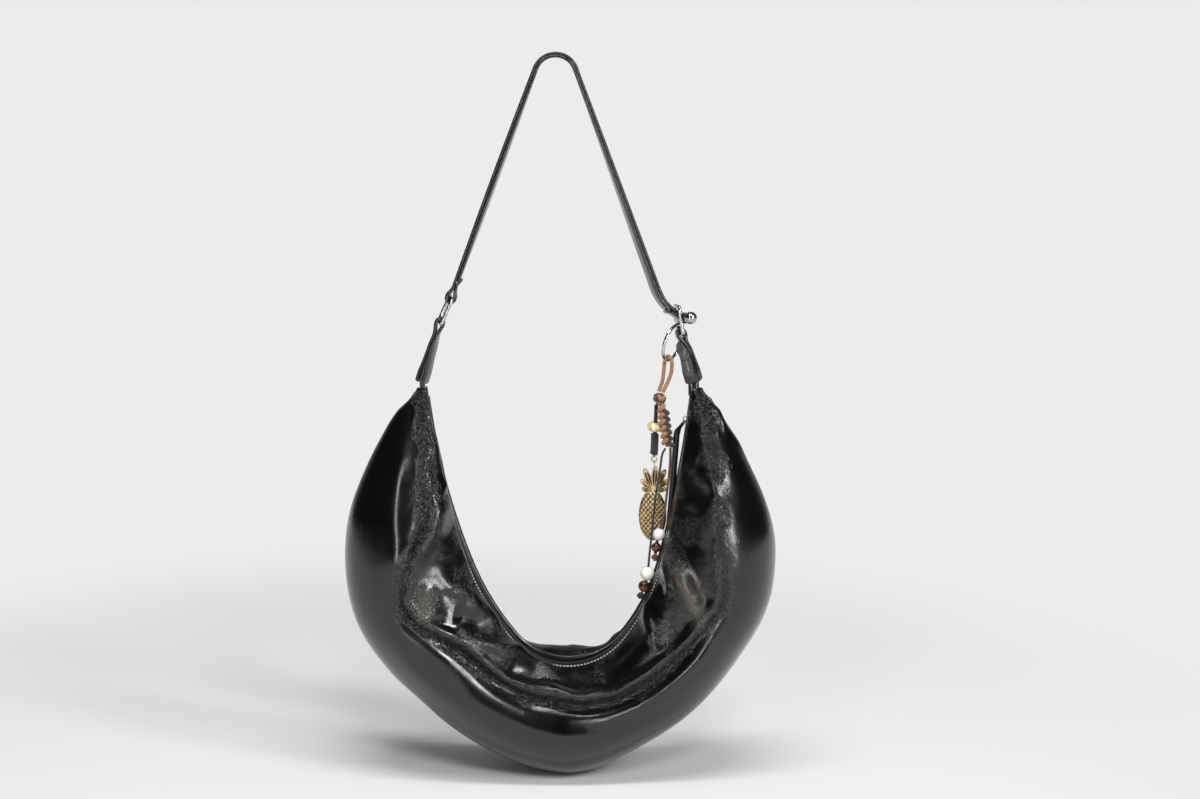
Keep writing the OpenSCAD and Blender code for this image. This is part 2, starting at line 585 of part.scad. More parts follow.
// Charm ring: hooked round the rear lower corner of the right clasp ring
charm_ring_at = right_ring_low + [-7.15, 0.47, -8.48];
charm_ring_turn = -28.5;
charm_ring_tip = 105;
charm_ring_normal = [sin(charm_ring_tip) * cos(charm_ring_turn), sin(charm_ring_tip) * sin(charm_ring_turn), cos(charm_ring_tip)];
charm_ring_low = charm_ring_at + charm_ring_r * unit([0, 0, -1] + charm_ring_normal * cos(charm_ring_tip));
module charm_ring() color("#b4b7bb") along(charm_ring_at, charm_ring_at + charm_ring_normal) torus(charm_ring_r, charm_wire_r);

// Knotted cords, on routes in round numbers
loop_route = [[90.3, 3.5, -276.1], [91.6, 3.9, -272.5], [93.4, 3.9, -267.5], [94.6, 4, -259], [95.3, 4.2, -251],
    [96.2, 3.8, -246.6], [98.5, 2.6, -244.7], [100.9, 1.3, -246.6], [101.8, 0.8, -251], [101.2, 1, -259],
    [98.2, 1.1, -267.5], [95.8, 1, -272.5], [94, 0.9, -276.6]];
module charm_loop_cord() color("#8a5a38") cord(loop_route, loop_cord_r, 2);

knot_at = [90.9, 1.5, -282.6];
module charm_button_knot() color("#6b452c") translate(knot_at) sphere(button_r);

braid_top = [93.6, -0.8, -288.9];
braid_low = [98.6, -2.5, -324.4];
braid_bumps = 8;
bump_points = 6;
bump_share = 0.12;
braid_l = norm(braid_low - braid_top);
module charm_snake_braid() color("#7a4d30") along(braid_top, braid_low)
    rotate_extrude() polygon(concat([[0, 0]],
        [for (i = [0:braid_bumps * bump_points]) [
            braid_r * (1 - bump_share + bump_share * abs(sin(180 * i / bump_points))), braid_l * i / (braid_bumps * bump_points)]],
        [[0, braid_l]]));

branch_top = [88.2, 4.2, -288.2];
branch_low = [87.2, 7, -313.4];
branch_r = 1.75;
module charm_branch_cord() color("#6e472f") along(branch_top, branch_low) cylinder(h = norm(branch_low - branch_top), r = branch_r);
ring_bead_share = 0.78;
module charm_ring_bead() color("#d9b877") along(branch_top + (branch_low - branch_top) * ring_bead_share, branch_low)
    rotate_extrude() intersection() {
        translate([ring_bead_r - ring_bead_h / 2, 0]) circle(ring_bead_h / 2);
        translate([branch_r + 0.15, -ring_bead_h]) square([ring_bead_r, 2 * ring_bead_h]);
    }
wrap_top = [87.1, 7, -313.8];
wrap_low = [86.4, 6, -334];
wrap_end_r = 4.2;
wrap_end_l = 4.5;
wrap_l = norm(wrap_low - wrap_top);
module charm_wrapped_cord() color("#17171a") along(wrap_top, wrap_low) {
    cylinder(h = wrap_l - wrap_end_l / 2, r = wrap_r);
    translate([0, 0, wrap_l - wrap_end_l]) cylinder(h = wrap_end_l, r = wrap_end_r);
}
jump_r = 2.4;
jump_wire_r = 0.6;
jump_at = wrap_low + [0.2, 0, -jump_r - jump_wire_r - 0.1];
module pineapple_jump_ring() color("#b08d57") translate(jump_at) rotate([90, 0, 0]) torus(jump_r, jump_wire_r);

// Pineapple: a flat cast body, a fan of leaves and an eye that the jump ring goes through
pine_eye_r = 1.9;
pine_eye_at = jump_at + [0, 0, -jump_r + 2 * jump_wire_r + 0.1 - pine_eye_r];
pine_at = pine_eye_at + [-1.4, 0, -47.2];
pine_rows = 12;
pine_round = 16;
leaf_base = pine_at + [1, 0, pine_half_h - 1.5];
leaf_r = 2.2;
leaf_root_r = 1.6;
leaf_t = 2.4;
// Angle from the upright and reach of each leaf, as a share of the longest
leaves = [[-22, 0.9], [-45, 0.62], [-74, 0.42], [4, 0.93], [27, 0.9], [50, 0.64], [75, 0.44]];
leaf_reach = 24;
module pineapple_pendant() color("#b3925a") {
    loft([for (i = [0:pine_rows]) let (q = 180 * (0.03 + 0.94 * i / pine_rows), s = sin(q))
        [for (j = [0:pine_round - 1]) let (a = 360 * j / pine_round)
            pine_at + [pine_half_w * s * cos(a), pine_half_t * pow(s, 0.7) * sin(a), -pine_half_h * cos(q)]]]);
    for (leaf = leaves)
        translate(leaf_base) rotate([0, leaf[0], 0]) rotate([90, 0, 0]) linear_extrude(leaf_t, center = true)
            hull() {
                circle(leaf_root_r, $fn = 16);
                translate([0, leaf_reach * leaf[1]]) circle(leaf_r, $fn = 16);
            }
    translate(pine_eye_at) rotate([0, 90, 0]) torus(pine_eye_r, jump_wire_r);
}

// Hanging cords with their beads; each bead lies between two neighbouring points of its cord
cord_a_route = [[96.2, -3.8, -325.7], [93.4, -4.6, -331], [91.6, -5, -343], [89.6, -5, -356], [87, -5, -374],
    [84.8, -5, -398], [82.4, -5, -420], [81.4, -5, -431], [79.6, -5, -444.4], [75.8, -5, -454.2]];
cord_b_route = [[100.7, -1.6, -325.4], [100.5, -1.5, -337], [99.3, -1.6, -352], [97.2, -1.8, -370], [95.2, -2, -387],
    [92.3, -2, -397.2], [89.1, -2, -409.2], [87.6, -2, -420.4]];
bead_bore_gap = 0.4;
bead_round_share = 0.56;
white_flat_share = 0.94;
wood_bead_a_h = 9.2;
wood_bead_b_h = 10.6;
knot_a_r = 3.4;
knot_b_r = 3.4;
module bead(p, q, r, h, bore) {
    round_r = min(h * bead_round_share, r);
    along((p + q) / 2, q) rotate_extrude() intersection() {
        translate([r - round_r, 0]) circle(round_r);
        translate([bore, -h / 2]) square([r, h]);
    }
}
module charm_cord_a() color("#231c19") cord(cord_a_route, cord_a_r, 3);
module white_bead_a() color("#f1eeea")
    bead(cord_a_route[7], cord_a_route[8], white_bead_a_r, 2 * white_bead_a_r * white_flat_share, cord_a_r + bead_bore_gap);
module wood_bead_a() color("#4a2818")
    bead(cord_a_route[8], cord_a_route[9], wood_bead_a_r, wood_bead_a_h, cord_a_r + bead_bore_gap);
module cord_a_knot() color("#1b1715")
    translate(cord_a_route[9] + (knot_a_r + 0.2) * unit(cord_a_route[9] - cord_a_route[8])) sphere(knot_a_r);
module charm_cord_b() color("#6a3f24") cord(cord_b_route, cord_b_r, 3);
module white_bead_b() color("#f1eeea")
    bead(cord_b_route[5], cord_b_route[6], white_bead_b_r, 2 * white_bead_b_r * white_flat_share, cord_b_r + bead_bore_gap);
module wood_bead_b() color("#4a2818")
    bead(cord_b_route[6], cord_b_route[7], wood_bead_b_r, wood_bead_b_h, cord_b_r + bead_bore_gap);
module cord_b_knot() color("#7a4d2e")
    translate(cord_b_route[7] + (knot_b_r + 0.2) * unit(cord_b_route[7] - cord_b_route[6])) sphere(knot_b_r);

front_panel();
back_panel();
front_lining();
back_lining();
front_lip_binding();
back_lip_binding();
outer_seam_welt();
zip_tape_front();
zip_tape_back();
zip_chain();
zip_stop_left();
zip_stop_right();
zip_slider();
zip_pull_ring();
zip_pull_strip();
left_tip_tongue();
right_tip_tongue();
left_tab();
right_tab();
left_ring();
right_ring();
strap_outer_ply();
strap_inner_ply();
toggle_bar();
toggle_front_ball();
toggle_rear_ball();
charm_ring();
charm_loop_cord();
charm_button_knot();
charm_snake_braid();
charm_branch_cord();
charm_ring_bead();
charm_wrapped_cord();
pineapple_jump_ring();
pineapple_pendant();
charm_cord_a();
white_bead_a();
wood_bead_a();
cord_a_knot();
charm_cord_b();
white_bead_b();
wood_bead_b();
cord_b_knot();
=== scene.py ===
# %% [markdown]
# # Half moon shoulder bag
# The real bag is a crescent of glossy, crinkled leather that hangs from a two-ply strap. Its fixed
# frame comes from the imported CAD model. This lesson dresses that frame: first the camera, the
# finishes and the free cords, then the leather, the zip, the strap and the charm, and last the
# floor and the light.

# %% Frame
import json
import math
import bpy
import numpy as np
from mathutils import Matrix, Vector, noise


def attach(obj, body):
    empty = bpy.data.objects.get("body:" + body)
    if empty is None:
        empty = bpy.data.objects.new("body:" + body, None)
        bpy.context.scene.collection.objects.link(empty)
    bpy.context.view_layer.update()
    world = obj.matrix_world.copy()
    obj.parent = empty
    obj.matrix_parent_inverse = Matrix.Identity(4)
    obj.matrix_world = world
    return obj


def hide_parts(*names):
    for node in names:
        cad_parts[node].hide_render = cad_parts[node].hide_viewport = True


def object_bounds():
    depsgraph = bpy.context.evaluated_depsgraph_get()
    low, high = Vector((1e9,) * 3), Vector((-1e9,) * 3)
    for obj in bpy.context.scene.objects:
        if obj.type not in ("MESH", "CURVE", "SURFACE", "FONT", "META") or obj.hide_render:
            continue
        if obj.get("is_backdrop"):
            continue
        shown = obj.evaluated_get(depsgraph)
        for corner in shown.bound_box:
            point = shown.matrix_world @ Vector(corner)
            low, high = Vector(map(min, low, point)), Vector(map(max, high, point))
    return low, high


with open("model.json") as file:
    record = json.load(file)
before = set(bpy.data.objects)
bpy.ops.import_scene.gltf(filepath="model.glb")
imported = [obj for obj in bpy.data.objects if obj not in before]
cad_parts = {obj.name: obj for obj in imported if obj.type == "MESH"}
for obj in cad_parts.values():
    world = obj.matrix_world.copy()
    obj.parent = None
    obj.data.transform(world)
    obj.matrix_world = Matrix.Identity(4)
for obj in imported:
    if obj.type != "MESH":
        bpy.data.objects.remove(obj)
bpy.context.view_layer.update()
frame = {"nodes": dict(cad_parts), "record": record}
record = frame["record"]
BODY_OF = {node: body for body, nodes in record["behaviour"]["bodies"].items() for node in nodes}
MM = 0.001
TAU = 2 * math.pi
DEEP = np.array([0, 1.0, 0])

# %% [markdown]
# ## Camera
# The photograph was taken from slightly above, with a long lens. All places below are in
# millimetres in the frame of the CAD model and become metres when a mesh is made.

# %% Camera
PICTURE = np.array([1200, 799])
LENS, SENSOR, FAR_OFF = 81.8, 36, 2400
FOCAL = LENS / SENSOR * PICTURE[0]
VIEW_DOWN = math.radians(8)
AIM = np.array([38.53, 0, -282.83])
AHEAD = np.array([0, math.cos(VIEW_DOWN), -math.sin(VIEW_DOWN)])
UPWARD = np.array([0, math.sin(VIEW_DOWN), math.cos(VIEW_DOWN)])
EYE = AIM - FAR_OFF * AHEAD
bpy.ops.object.select_all(action="DESELECT")
bpy.ops.object.camera_add(location=EYE * MM, rotation=(math.pi / 2 - VIEW_DOWN, 0, 0))
camera = bpy.context.object
camera.data.lens = LENS
camera.data.clip_end = 30
bpy.context.scene.camera = camera


def seen_at(points):
    """Places in the 1200 by 799 picture of points in millimetres."""
    ray = points - EYE
    depth = (ray @ AHEAD)[:, None]
    return PICTURE / 2 + FOCAL * np.stack([ray[:, 0], -(ray @ UPWARD)], 1) / depth


print("peg centre seen at", seen_at(np.zeros((1, 3))).round(1))

# %% [markdown]
# ## Materials: the helpers
# Every finish is a small tree of nodes. One helper adds a node with its settings and links, and
# turns a colour as a painter reads it into the linear colour that the shader wants. The others add
# what most finishes need: a value in a new range, a sum, a colour between two, and a relief.

# %% Material helpers
def paint(code):
    """Linear colour of an sRGB hex code."""
    parts = [int(code[i:i + 2], 16) / 255 for i in (1, 3, 5)]
    return [c / 12.92 if c <= 0.04045 else ((c + 0.055) / 1.055) ** 2.4 for c in parts] + [1]


def add(tree, kind, links=None, **settings):
    """A new node. Settings are its properties, links its inputs: nodes, sockets or values."""
    made = tree.nodes.new("ShaderNode" + kind)
    for key, value in settings.items():
        setattr(made, key, value)
    for key, value in (links or {}).items():
        if isinstance(value, str):
            value = paint(value)
        if isinstance(value, bpy.types.Node):
            value = value.outputs[0]
        if isinstance(value, bpy.types.NodeSocket):
            tree.links.new(value, made.inputs[key])
        else:
            made.inputs[key].default_value = value
    return made


def ranged(tree, value, low, high, to_low=0.0, to_high=1.0, **settings):
    """A value moved from one range to another."""
    return add(tree, "MapRange", {0: value, 1: low, 2: high, 3: to_low, 4: to_high}, **settings)


def reckoned(tree, operation, *values):
    """A sum on values and sockets."""
    return add(tree, "Math", dict(enumerate(values)), operation=operation)


def mixed(tree, share, low, high):
    """A colour between two, by a share from 0 to 1."""
    return add(tree, "Mix", {0: share, 6: low, 7: high}, data_type="RGBA").outputs[2]


def coloured(tree, shader, share, low, high):
    """Gives a shader a base colour between two, by a share."""
    tree.links.new(mixed(tree, share, low, high), shader.inputs["Base Color"])


def relief(tree, shader, height, depth_mm, strength=1.0, over=None):
    """Raises a height pattern on a shader, over an earlier relief if one is given."""
    links = {"Height": height, "Distance": depth_mm * MM, "Strength": strength}
    if over is not None:
        links["Normal"] = over
    made = add(tree, "Bump", links)
    for coat in ("Normal", "Coat Normal"):
        tree.links.new(made.outputs[0], shader.inputs[coat])
    return made


def begin(name, code, **sockets):
    """A material, its tree, its shader with its even values, and its object and UV places."""
    made = bpy.data.materials.new(name)
    made.use_nodes = True
    tree = made.node_tree
    shader = tree.nodes["Principled BSDF"]
    shader.inputs["Base Color"].default_value = paint(code)
    for key, value in sockets.items():
        shader.inputs[key.replace("_", " ")].default_value = value
    places = add(tree, "TexCoord").outputs
    return made, tree, shader, places["Object"], places["UV"]


# %% [markdown]
# ## Leather
# The body is sheepskin with a glazed, crinkled finish: a hard gloss over fine cracks that stand
# close together where the skin is slack and fade where it is stretched. Cells with a raised edge,
# about 3 mm wide on the body and half of that on the strap, give the cracks, stretched noise the
# drawn fibres, and a fine noise the pores. Where the cracks are deep, the colour is painted paler
# on the crests of the wrinkles, a painted highlight, and two pale brownish patches on the body are
# a painted reflection.

# %% Crinkled glazed leather
def glazed_leather(name, code, rough, crack_mm, crack_depth, grain=1.0):
    """Leather with a hard gloss and cells of cracks, deepest where the skin is slack."""
    made, tree, shader, where, uv = begin(name, code, Roughness=rough, Coat_Weight=0.5,
                                          Coat_Roughness=0.12)
    crack = crack_mm * MM
    slack = add(tree, "Attribute", attribute_name="slack").outputs["Fac"]
    warp = add(tree, "TexNoise", {"Vector": where, "Scale": 110, "Detail": 3}).outputs["Color"]
    bent = add(tree, "VectorMath", {0: warp, 1: (0.009,) * 3, 2: where}, operation="MULTIPLY_ADD")
    cells = add(tree, "TexVoronoi", {"Vector": bent, "Scale": 1 / crack},
                feature="DISTANCE_TO_EDGE")
    cracks = ranged(tree, cells.outputs["Distance"], 0.0, 0.14)
    wrinkles = add(tree, "TexNoise", {"Vector": bent, "Scale": 0.75 / crack, "Detail": 4,
                                      "Roughness": 0.55, "Offset": 1.0, "Gain": 1.2},
                   noise_type="RIDGED_MULTIFRACTAL")
    creased = ranged(tree, wrinkles, 0.9, 2.4, 0.0, 1.1)
    worn = add(tree, "TexNoise", {"Vector": where, "Scale": 38, "Detail": 2})
    tight = reckoned(tree, "MULTIPLY_ADD", slack, 0.2, worn)
    amount = reckoned(tree, "MULTIPLY", ranged(tree, tight, 0.53, 0.64, 0.08, 1.0), slack)
    deep = reckoned(tree, "MULTIPLY", reckoned(tree, "ADD", cracks, creased), amount)
    drawn = add(tree, "VectorMath", {0: uv, 1: (90, 700, 0)}, operation="MULTIPLY")
    fibres = add(tree, "TexNoise", {"Vector": drawn, "Scale": 1.0, "Detail": 4, "Roughness": 0.6})
    pores = add(tree, "TexNoise", {"Vector": where, "Scale": 700, "Detail": 3, "Roughness": 0.7})
    first = relief(tree, shader, deep, crack_depth)
    second = relief(tree, shader, fibres, 0.07 * grain, 0.9, first)
    relief(tree, shader, pores, 0.05 * grain, 0.6, second)
    patch = add(tree, "TexNoise", {"Vector": where, "Scale": 25, "Detail": 5})
    shine = ranged(tree, patch, 0.3, 0.7, rough - 0.06, rough + 0.08)
    tree.links.new(shine.outputs[0], shader.inputs["Roughness"])
    # The attribute read here marks two pale brownish patches on the body: a painted reflection.
    rub = add(tree, "Attribute", attribute_name="rubbed").outputs["Fac"]
    # Where the cracks are deep, the crests of the wrinkles are painted paler grey: painted
    # highlights.
    paler = reckoned(tree, "MULTIPLY", ranged(tree, creased, 0.55, 1.1, 0.0, 0.5), amount)
    coloured(tree, shader, paler, mixed(tree, rub, code, "#56524b"), "#55555a")
    return made


black_leather = glazed_leather("glazed_crinkled_sheepskin", "#040405", 0.23, 2.6, 0.5)
lip_leather = glazed_leather("glazed_binding_leather", "#0d0d0f", 0.3, 1.6, 0.12)
strap_leather = glazed_leather("glazed_strap_leather", "#141416", 0.26, 1.4, 0.1, 0.25)
# A paler grey strap leather: a painted sheen, used on the right tab's hem and lap.
sheen_painted_strap_leather = glazed_leather("strap_leather_painted_sheen", "#3b3b3e", 0.34, 1.4, 0.1, 0.4)

# %% [markdown]
# ## Cloth, thread and cord
# The charm's cords are waxed cotton, laid up from fine plies that wind round at a slant. A slanting
# wave on the cord's own UV map gives the plies, and noise gives the fuzz. The zip tape and the
# lining are woven, so two crossed waves give warp and weft.

# %% Cord and cloth
def laid_cord(name, code, ply_mm, light, rough=0.5):
    """Waxed cord of slanting plies, paler on their ridges."""
    made, tree, shader, where, uv = begin(name, code, Roughness=rough, Sheen_Weight=0.25)
    plies = add(tree, "TexWave", {"Vector": uv, "Scale": 0.628 / (ply_mm * MM), "Distortion": 0.4},
                bands_direction="DIAGONAL")
    fuzz = add(tree, "TexNoise", {"Vector": where, "Scale": 900, "Detail": 3})
    relief(tree, shader, fuzz, 0.15, 0.4, relief(tree, shader, plies, 0.35, 0.8))
    coloured(tree, shader, ranged(tree, plies.outputs["Fac"], 0, 1, 0.1, 0.9), code, light)
    return made


def woven(name, code, thread_mm, light):
    """Plain cloth of crossed threads."""
    made, tree, shader, _, uv = begin(name, code, Roughness=0.75, Sheen_Weight=0.2)
    threads = {"Vector": uv, "Scale": 0.314 / (thread_mm * MM)}
    warp, weft = [add(tree, "TexWave", threads, bands_direction=way).outputs["Fac"] for way in "XY"]
    weave = reckoned(tree, "MULTIPLY", warp, weft)
    relief(tree, shader, weave, 0.25, 0.8)
    coloured(tree, shader, weave, code, light)
    return made


black_cord = laid_cord("waxed_black_cotton_cord", "#0d0b0a", 0.7, "#2b2320")
brown_cord = laid_cord("waxed_brown_cotton_cord", "#4a2a18", 0.7, "#7d4f30")
copper_cord = laid_cord("waxed_copper_cotton_cord", "#5a3019", 0.8, "#c08a5c", 0.36)
dark_copper_cord = laid_cord("waxed_dark_brown_cotton_cord", "#150c08", 0.6, "#3c2316", 0.4)
lining_cloth = woven("woven_black_lining", "#171615", 0.6, "#2a2826")
zip_tape_cloth = woven("woven_zip_tape", "#0b0b0c", 0.5, "#1c1c1e")
stitch_thread = laid_cord("bonded_polyester_thread", "#a8a9ac", 0.3, "#dcdddf", 0.4)
dark_thread = laid_cord("bonded_dark_thread", "#2c2c30", 0.3, "#5a5b60", 0.4)

# %% [markdown]
# ## Metal, beads and wood
# The clasp is die-cast zinc, plated with bright nickel and tumbled, so it has faint swirls. The
# pineapple is cast alloy with an antique gold wash, dark in its hollows. The beads are glazed
# ceramic, polished horn that lets some light through, and turned dark wood.

# %% Hard finishes
def plated(name, code, rough, swirl_mm, stain="#000000", hollow=0.0):
    """Polished metal with faint swirls, and with a stain in its hollows if it has any."""
    made, tree, shader, where, _ = begin(name, code, Metallic=1.0, Roughness=rough)
    swirls = add(tree, "TexNoise", {"Vector": where, "Scale": 1 / (swirl_mm * MM), "Detail": 4})
    shine = ranged(tree, swirls, 0.3, 0.7, rough - 0.03, rough + 0.08)
    tree.links.new(shine.outputs[0], shader.inputs["Roughness"])
    relief(tree, shader, swirls, 0.01, 0.15)
    if hollow:
        dark = add(tree, "Attribute", attribute_name="hollow").outputs["Fac"]
        coloured(tree, shader, reckoned(tree, "MULTIPLY", dark, hollow), code, stain)
    return made


def patterned(name, code, pattern, values, colours, depth_mm, strength, **sockets):
    """A finish whose colour and slight relief follow one noise or wave."""
    made, tree, shader, where, _ = begin(name, code, **sockets)
    pattern = add(tree, pattern, {"Vector": where, **values})
    coloured(tree, shader, pattern, *colours)
    relief(tree, shader, pattern, depth_mm, strength)
    return made, pattern


nickel = plated("tumbled_bright_nickel", "#c9cbce", 0.14, 1.5)
dark_nickel = plated("tumbled_smoked_nickel", "#b4b6b9", 0.2, 2.0)
zip_metal = plated("stamped_zip_nickel", "#cdd0d4", 0.2, 0.8)
antique_gold = plated("cast_antique_gold", "#f3d7a6", 0.33, 0.7, "#2a1a0d", 0.96)
white_ceramic, _ = patterned(
    "glazed_white_ceramic", "#e9e6e2", "TexNoise", {"Scale": 400, "Detail": 5},
    ("#dcd8d3", "#f2f0ec"), 0.05, 0.3, Roughness=0.22, Coat_Weight=0.5, Subsurface_Weight=0.15,
    Subsurface_Scale=0.002)
horn, _ = patterned(
    "polished_pale_horn", "#ecd9b0", "TexWave", {"Scale": 60, "Distortion": 5, "Detail": 3},
    ("#dcb97c", "#f6e9cb"), 0.04, 0.3, Roughness=0.22, Transmission_Weight=0.3, IOR=1.54)
dark_wood, grain = patterned(
    "turned_dark_wood", "#3c1f13", "TexWave", {"Scale": 45, "Distortion": 6, "Detail": 4},
    ("#241009", "#6b3b22"), 0.06, 0.4, Roughness=0.32, Coat_Weight=0.3)
grain.bands_direction = "Z"
print("finishes made:", len(bpy.data.materials))

# %% [markdown]
# ## Making pieces
# Leather that bends both ways can't be cut out of a box, so the soft pieces are skins through
# rings of points. A cord is such a skin round its route. Each piece gets a UV map in real lengths,
# so a weave or a fibre has the same size on all of them, and takes its body from the CAD node that
# it stands for or goes with.

# %% Piece helpers
def unit(v):
    """Vectors at length 1."""
    return v / np.maximum(np.linalg.norm(v, axis=-1, keepdims=True), 1e-9)


def circle(count):
    """Even turns in radians round a circle."""
    return np.arange(count) * TAU / count


def turn_about(axis, angle):
    """Matrix of a turn about the X, Y or Z axis."""
    return np.array(Matrix.Rotation(angle, 3, axis))


def soft_between(a, b, c, d, f):
    """Soft curve from b to c, whose neighbours are a and d, at a share f of the way."""
    return (b + f * (c - a) / 2 + f**2 * (a - 2.5 * b + 2 * c - d / 2)
            + f**3 * (1.5 * (b - c) + (d - a) / 2))


def smooth_route(route, steps):
    """Points of a soft curve through the route's points, with so many steps to each stretch."""
    v = np.asarray(route, float)
    v = np.concatenate([v[:1], v, v[-1:]])
    f = (np.arange(steps) / steps)[:, None]
    parts = [soft_between(a, b, c, d, f) for a, b, c, d in zip(v, v[1:], v[2:], v[3:])]
    return np.concatenate(parts + [v[-1:]])


def dress(made, finish, node, stands_for=True):
    """Gives a piece its finish, and the body of the node it stands for or goes with."""
    made.data.materials.clear()
    made.data.materials.append(finish)
    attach(made, BODY_OF[node])
    if stands_for:
        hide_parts(node)
    return made


def solid(name, points, faces, uv, finish, node, stands_for=True, slot=None):
    """A piece from points in millimetres, its faces and a UV place for each corner of each face."""
    mesh = bpy.data.meshes.new(name)
    mesh.from_pydata((np.asarray(points).reshape(-1, 3) * MM).tolist(), [], faces)
    layer = mesh.uv_layers.new(name="UVMap")
    layer.data.foreach_set("uv", (np.asarray(uv, float) * MM).ravel())
    made = bpy.data.objects.new(name, mesh)
    bpy.context.scene.collection.objects.link(made)
    mesh.shade_smooth()
    return dress(made, finish, node, stands_for)


def keep_values(made, key, values):
    """A value for each point of a piece, for its finish to read."""
    kept = made.data.attributes.new(key, "FLOAT", "POINT")
    kept.data.foreach_set("value", values.astype(np.float32))


def steps_along(points):
    """Lengths along a line of points, from its start."""
    return np.concatenate([[0], np.cumsum(np.linalg.norm(np.diff(points, axis=0), axis=1))])


def squares(rows, columns):
    """Corners, as ring and place on it, of each face between rings that run anticlockwise."""
    return [((i, j), (i, j + 1), (i + 1, j + 1), (i + 1, j))
            for i in range(rows) for j in range(columns)]


def skin_round(rings):
    """Points, faces and UV places of a skin through rings, closed by its first and last ring."""
    n, k = rings.shape[:2]
    along = steps_along(rings.mean(1))
    girth = np.stack([steps_along(np.concatenate([r, r[:1]])) for r in rings])
    faces = [[a * k + b % k for a, b in square] for square in squares(n - 1, k)]
    uv = [(along[a], girth[a, b]) for square in squares(n - 1, k) for a, b in square]
    for i, order in ((0, range(k - 1, -1, -1)), (n - 1, range(k))):
        faces.append([i * k + j for j in order])
        uv += [(along[i], girth[i, j]) for j in order]
    return rings.reshape(-1, 3), faces, uv


def skin_hoop(rings):
    """The same for rings whose last one meets the first."""
    n, k = rings.shape[:2]
    step = np.linalg.norm(rings[0, 1] - rings[0, 0])
    faces = [[a % n * k + b % k for a, b in square] for square in squares(n, k)]
    uv = [(a, b * step) for square in squares(n, k) for a, b in square]
    return rings.reshape(-1, 3), faces, uv


def joined(parts):
    """Several lots of points, faces and UV places as one."""
    points, faces, uv, first = [], [], [], 0
    for p, f, u in parts:
        points.append(p)
        faces += [[i + first for i in face] for face in f]
        uv += list(u)
        first += len(p)
    return np.concatenate(points), faces, uv


def tube(route, radius, sides=12):
    """A round cord along a route."""
    ways = unit(np.gradient(route, axis=0))
    side = np.cross((0.03, 1, 0.02), ways[0])
    turn = circle(sides)[:, None]
    rings = []
    for p, way in zip(route, ways):
        side = unit(side - way * (side @ way))
        rings.append(p + radius * (np.cos(turn) * side + np.sin(turn) * np.cross(way, side)))
    return skin_round(np.array(rings))


def between(a, b, shares):
    """Points on the straight line from a to b."""
    return a + (b - a) * np.asarray(shares)[:, None]


# %% [markdown]
# ## Beads and knots
# A bead is turned: round outside with flat ends and a bore. Half its outline is spun round the
# bore. A knot is the cord's own strand wound over itself into a ball, so it is made of a few bent
# loops round a small core.

# %% Beads
def turned_bead(name, a, b, r, high, bore, finish, node, bulge=0.56):
    """Spins a bead's half outline round its bore, then sets it between two points."""
    a, b = np.asarray(a, float), np.asarray(b, float)
    q = min(high * bulge, r)
    top = math.asin(min(1, high / 2 / q))
    outline = [(bore, -high / 2 + 0.25), (bore + 0.3, -high / 2)]
    outline += [(r - q + q * math.cos(s), q * math.sin(s)) for s in np.linspace(-top, top, 17)]
    outline += [(bore + 0.3, high / 2), (bore, high / 2 - 0.25)]
    bpy.ops.object.select_all(action="DESELECT")
    bpy.ops.mesh.primitive_circle_add(vertices=len(outline), radius=1)
    made = bpy.context.object
    made.name = name
    for v, (x, z) in zip(made.data.vertices, outline):
        v.co = (x * MM, 0, z * MM)
    bpy.ops.object.mode_set(mode="EDIT")
    bpy.ops.mesh.select_all(action="SELECT")
    bpy.ops.mesh.spin(steps=40, angle=TAU, center=(0, 0, 0), axis=(0, 0, 1))
    bpy.ops.mesh.remove_doubles(threshold=1e-6)
    bpy.ops.mesh.normals_make_consistent(inside=False)
    bpy.ops.object.mode_set(mode="OBJECT")
    made.data.transform(Vector(b - a).to_track_quat("Z", "Y").to_matrix().to_4x4())
    made.data.transform(Matrix.Translation((a + b) / 2 * MM))
    bpy.ops.object.shade_smooth_by_angle(angle=math.radians(50))
    return dress(made, finish, node)


# %% Knots
def wound_ball(centre, r, strand, loops, turn=0.0, stretch=(1, 1, 1)):
    """Bent loops of one strand round a core, each loop waving over and under."""
    core = [np.stack([np.sin(a) * np.cos(t), np.sin(a) * np.sin(t), -np.cos(a)])
            for a in np.linspace(0.04, 0.96, 9) * math.pi for t in circle(12)]
    parts = [skin_round(np.array(core).reshape(9, 12, 3) * (r - 1.3 * strand))]
    s = np.linspace(0, TAU, 41)
    for k in range(loops):
        lift = r - strand * (1.25 + 0.3 * np.cos(3 * s + k))
        line = np.stack([np.cos(s), np.sin(s), 0.28 * np.sin(2 * s + 2 * k)], 1)
        placed = turn_about("Z", turn + k * math.pi / loops) @ turn_about("X", 0.9 + 0.5 * k)
        parts.append(tube(unit(line) * lift[:, None] @ placed.T, strand, 9))
    points, faces, uv = joined(parts)
    return points * np.array(stretch) + np.asarray(centre, float), faces, uv


# %% [markdown]
# ## The two hanging cords
# Each cord leaves the lower end of the braid, hangs limp, runs through a white and a wooden bead
# and ends in a knot. The routes repeat those of the CAD model, and their length is the whole cord.
# A route's last three points are the ends of its beads.

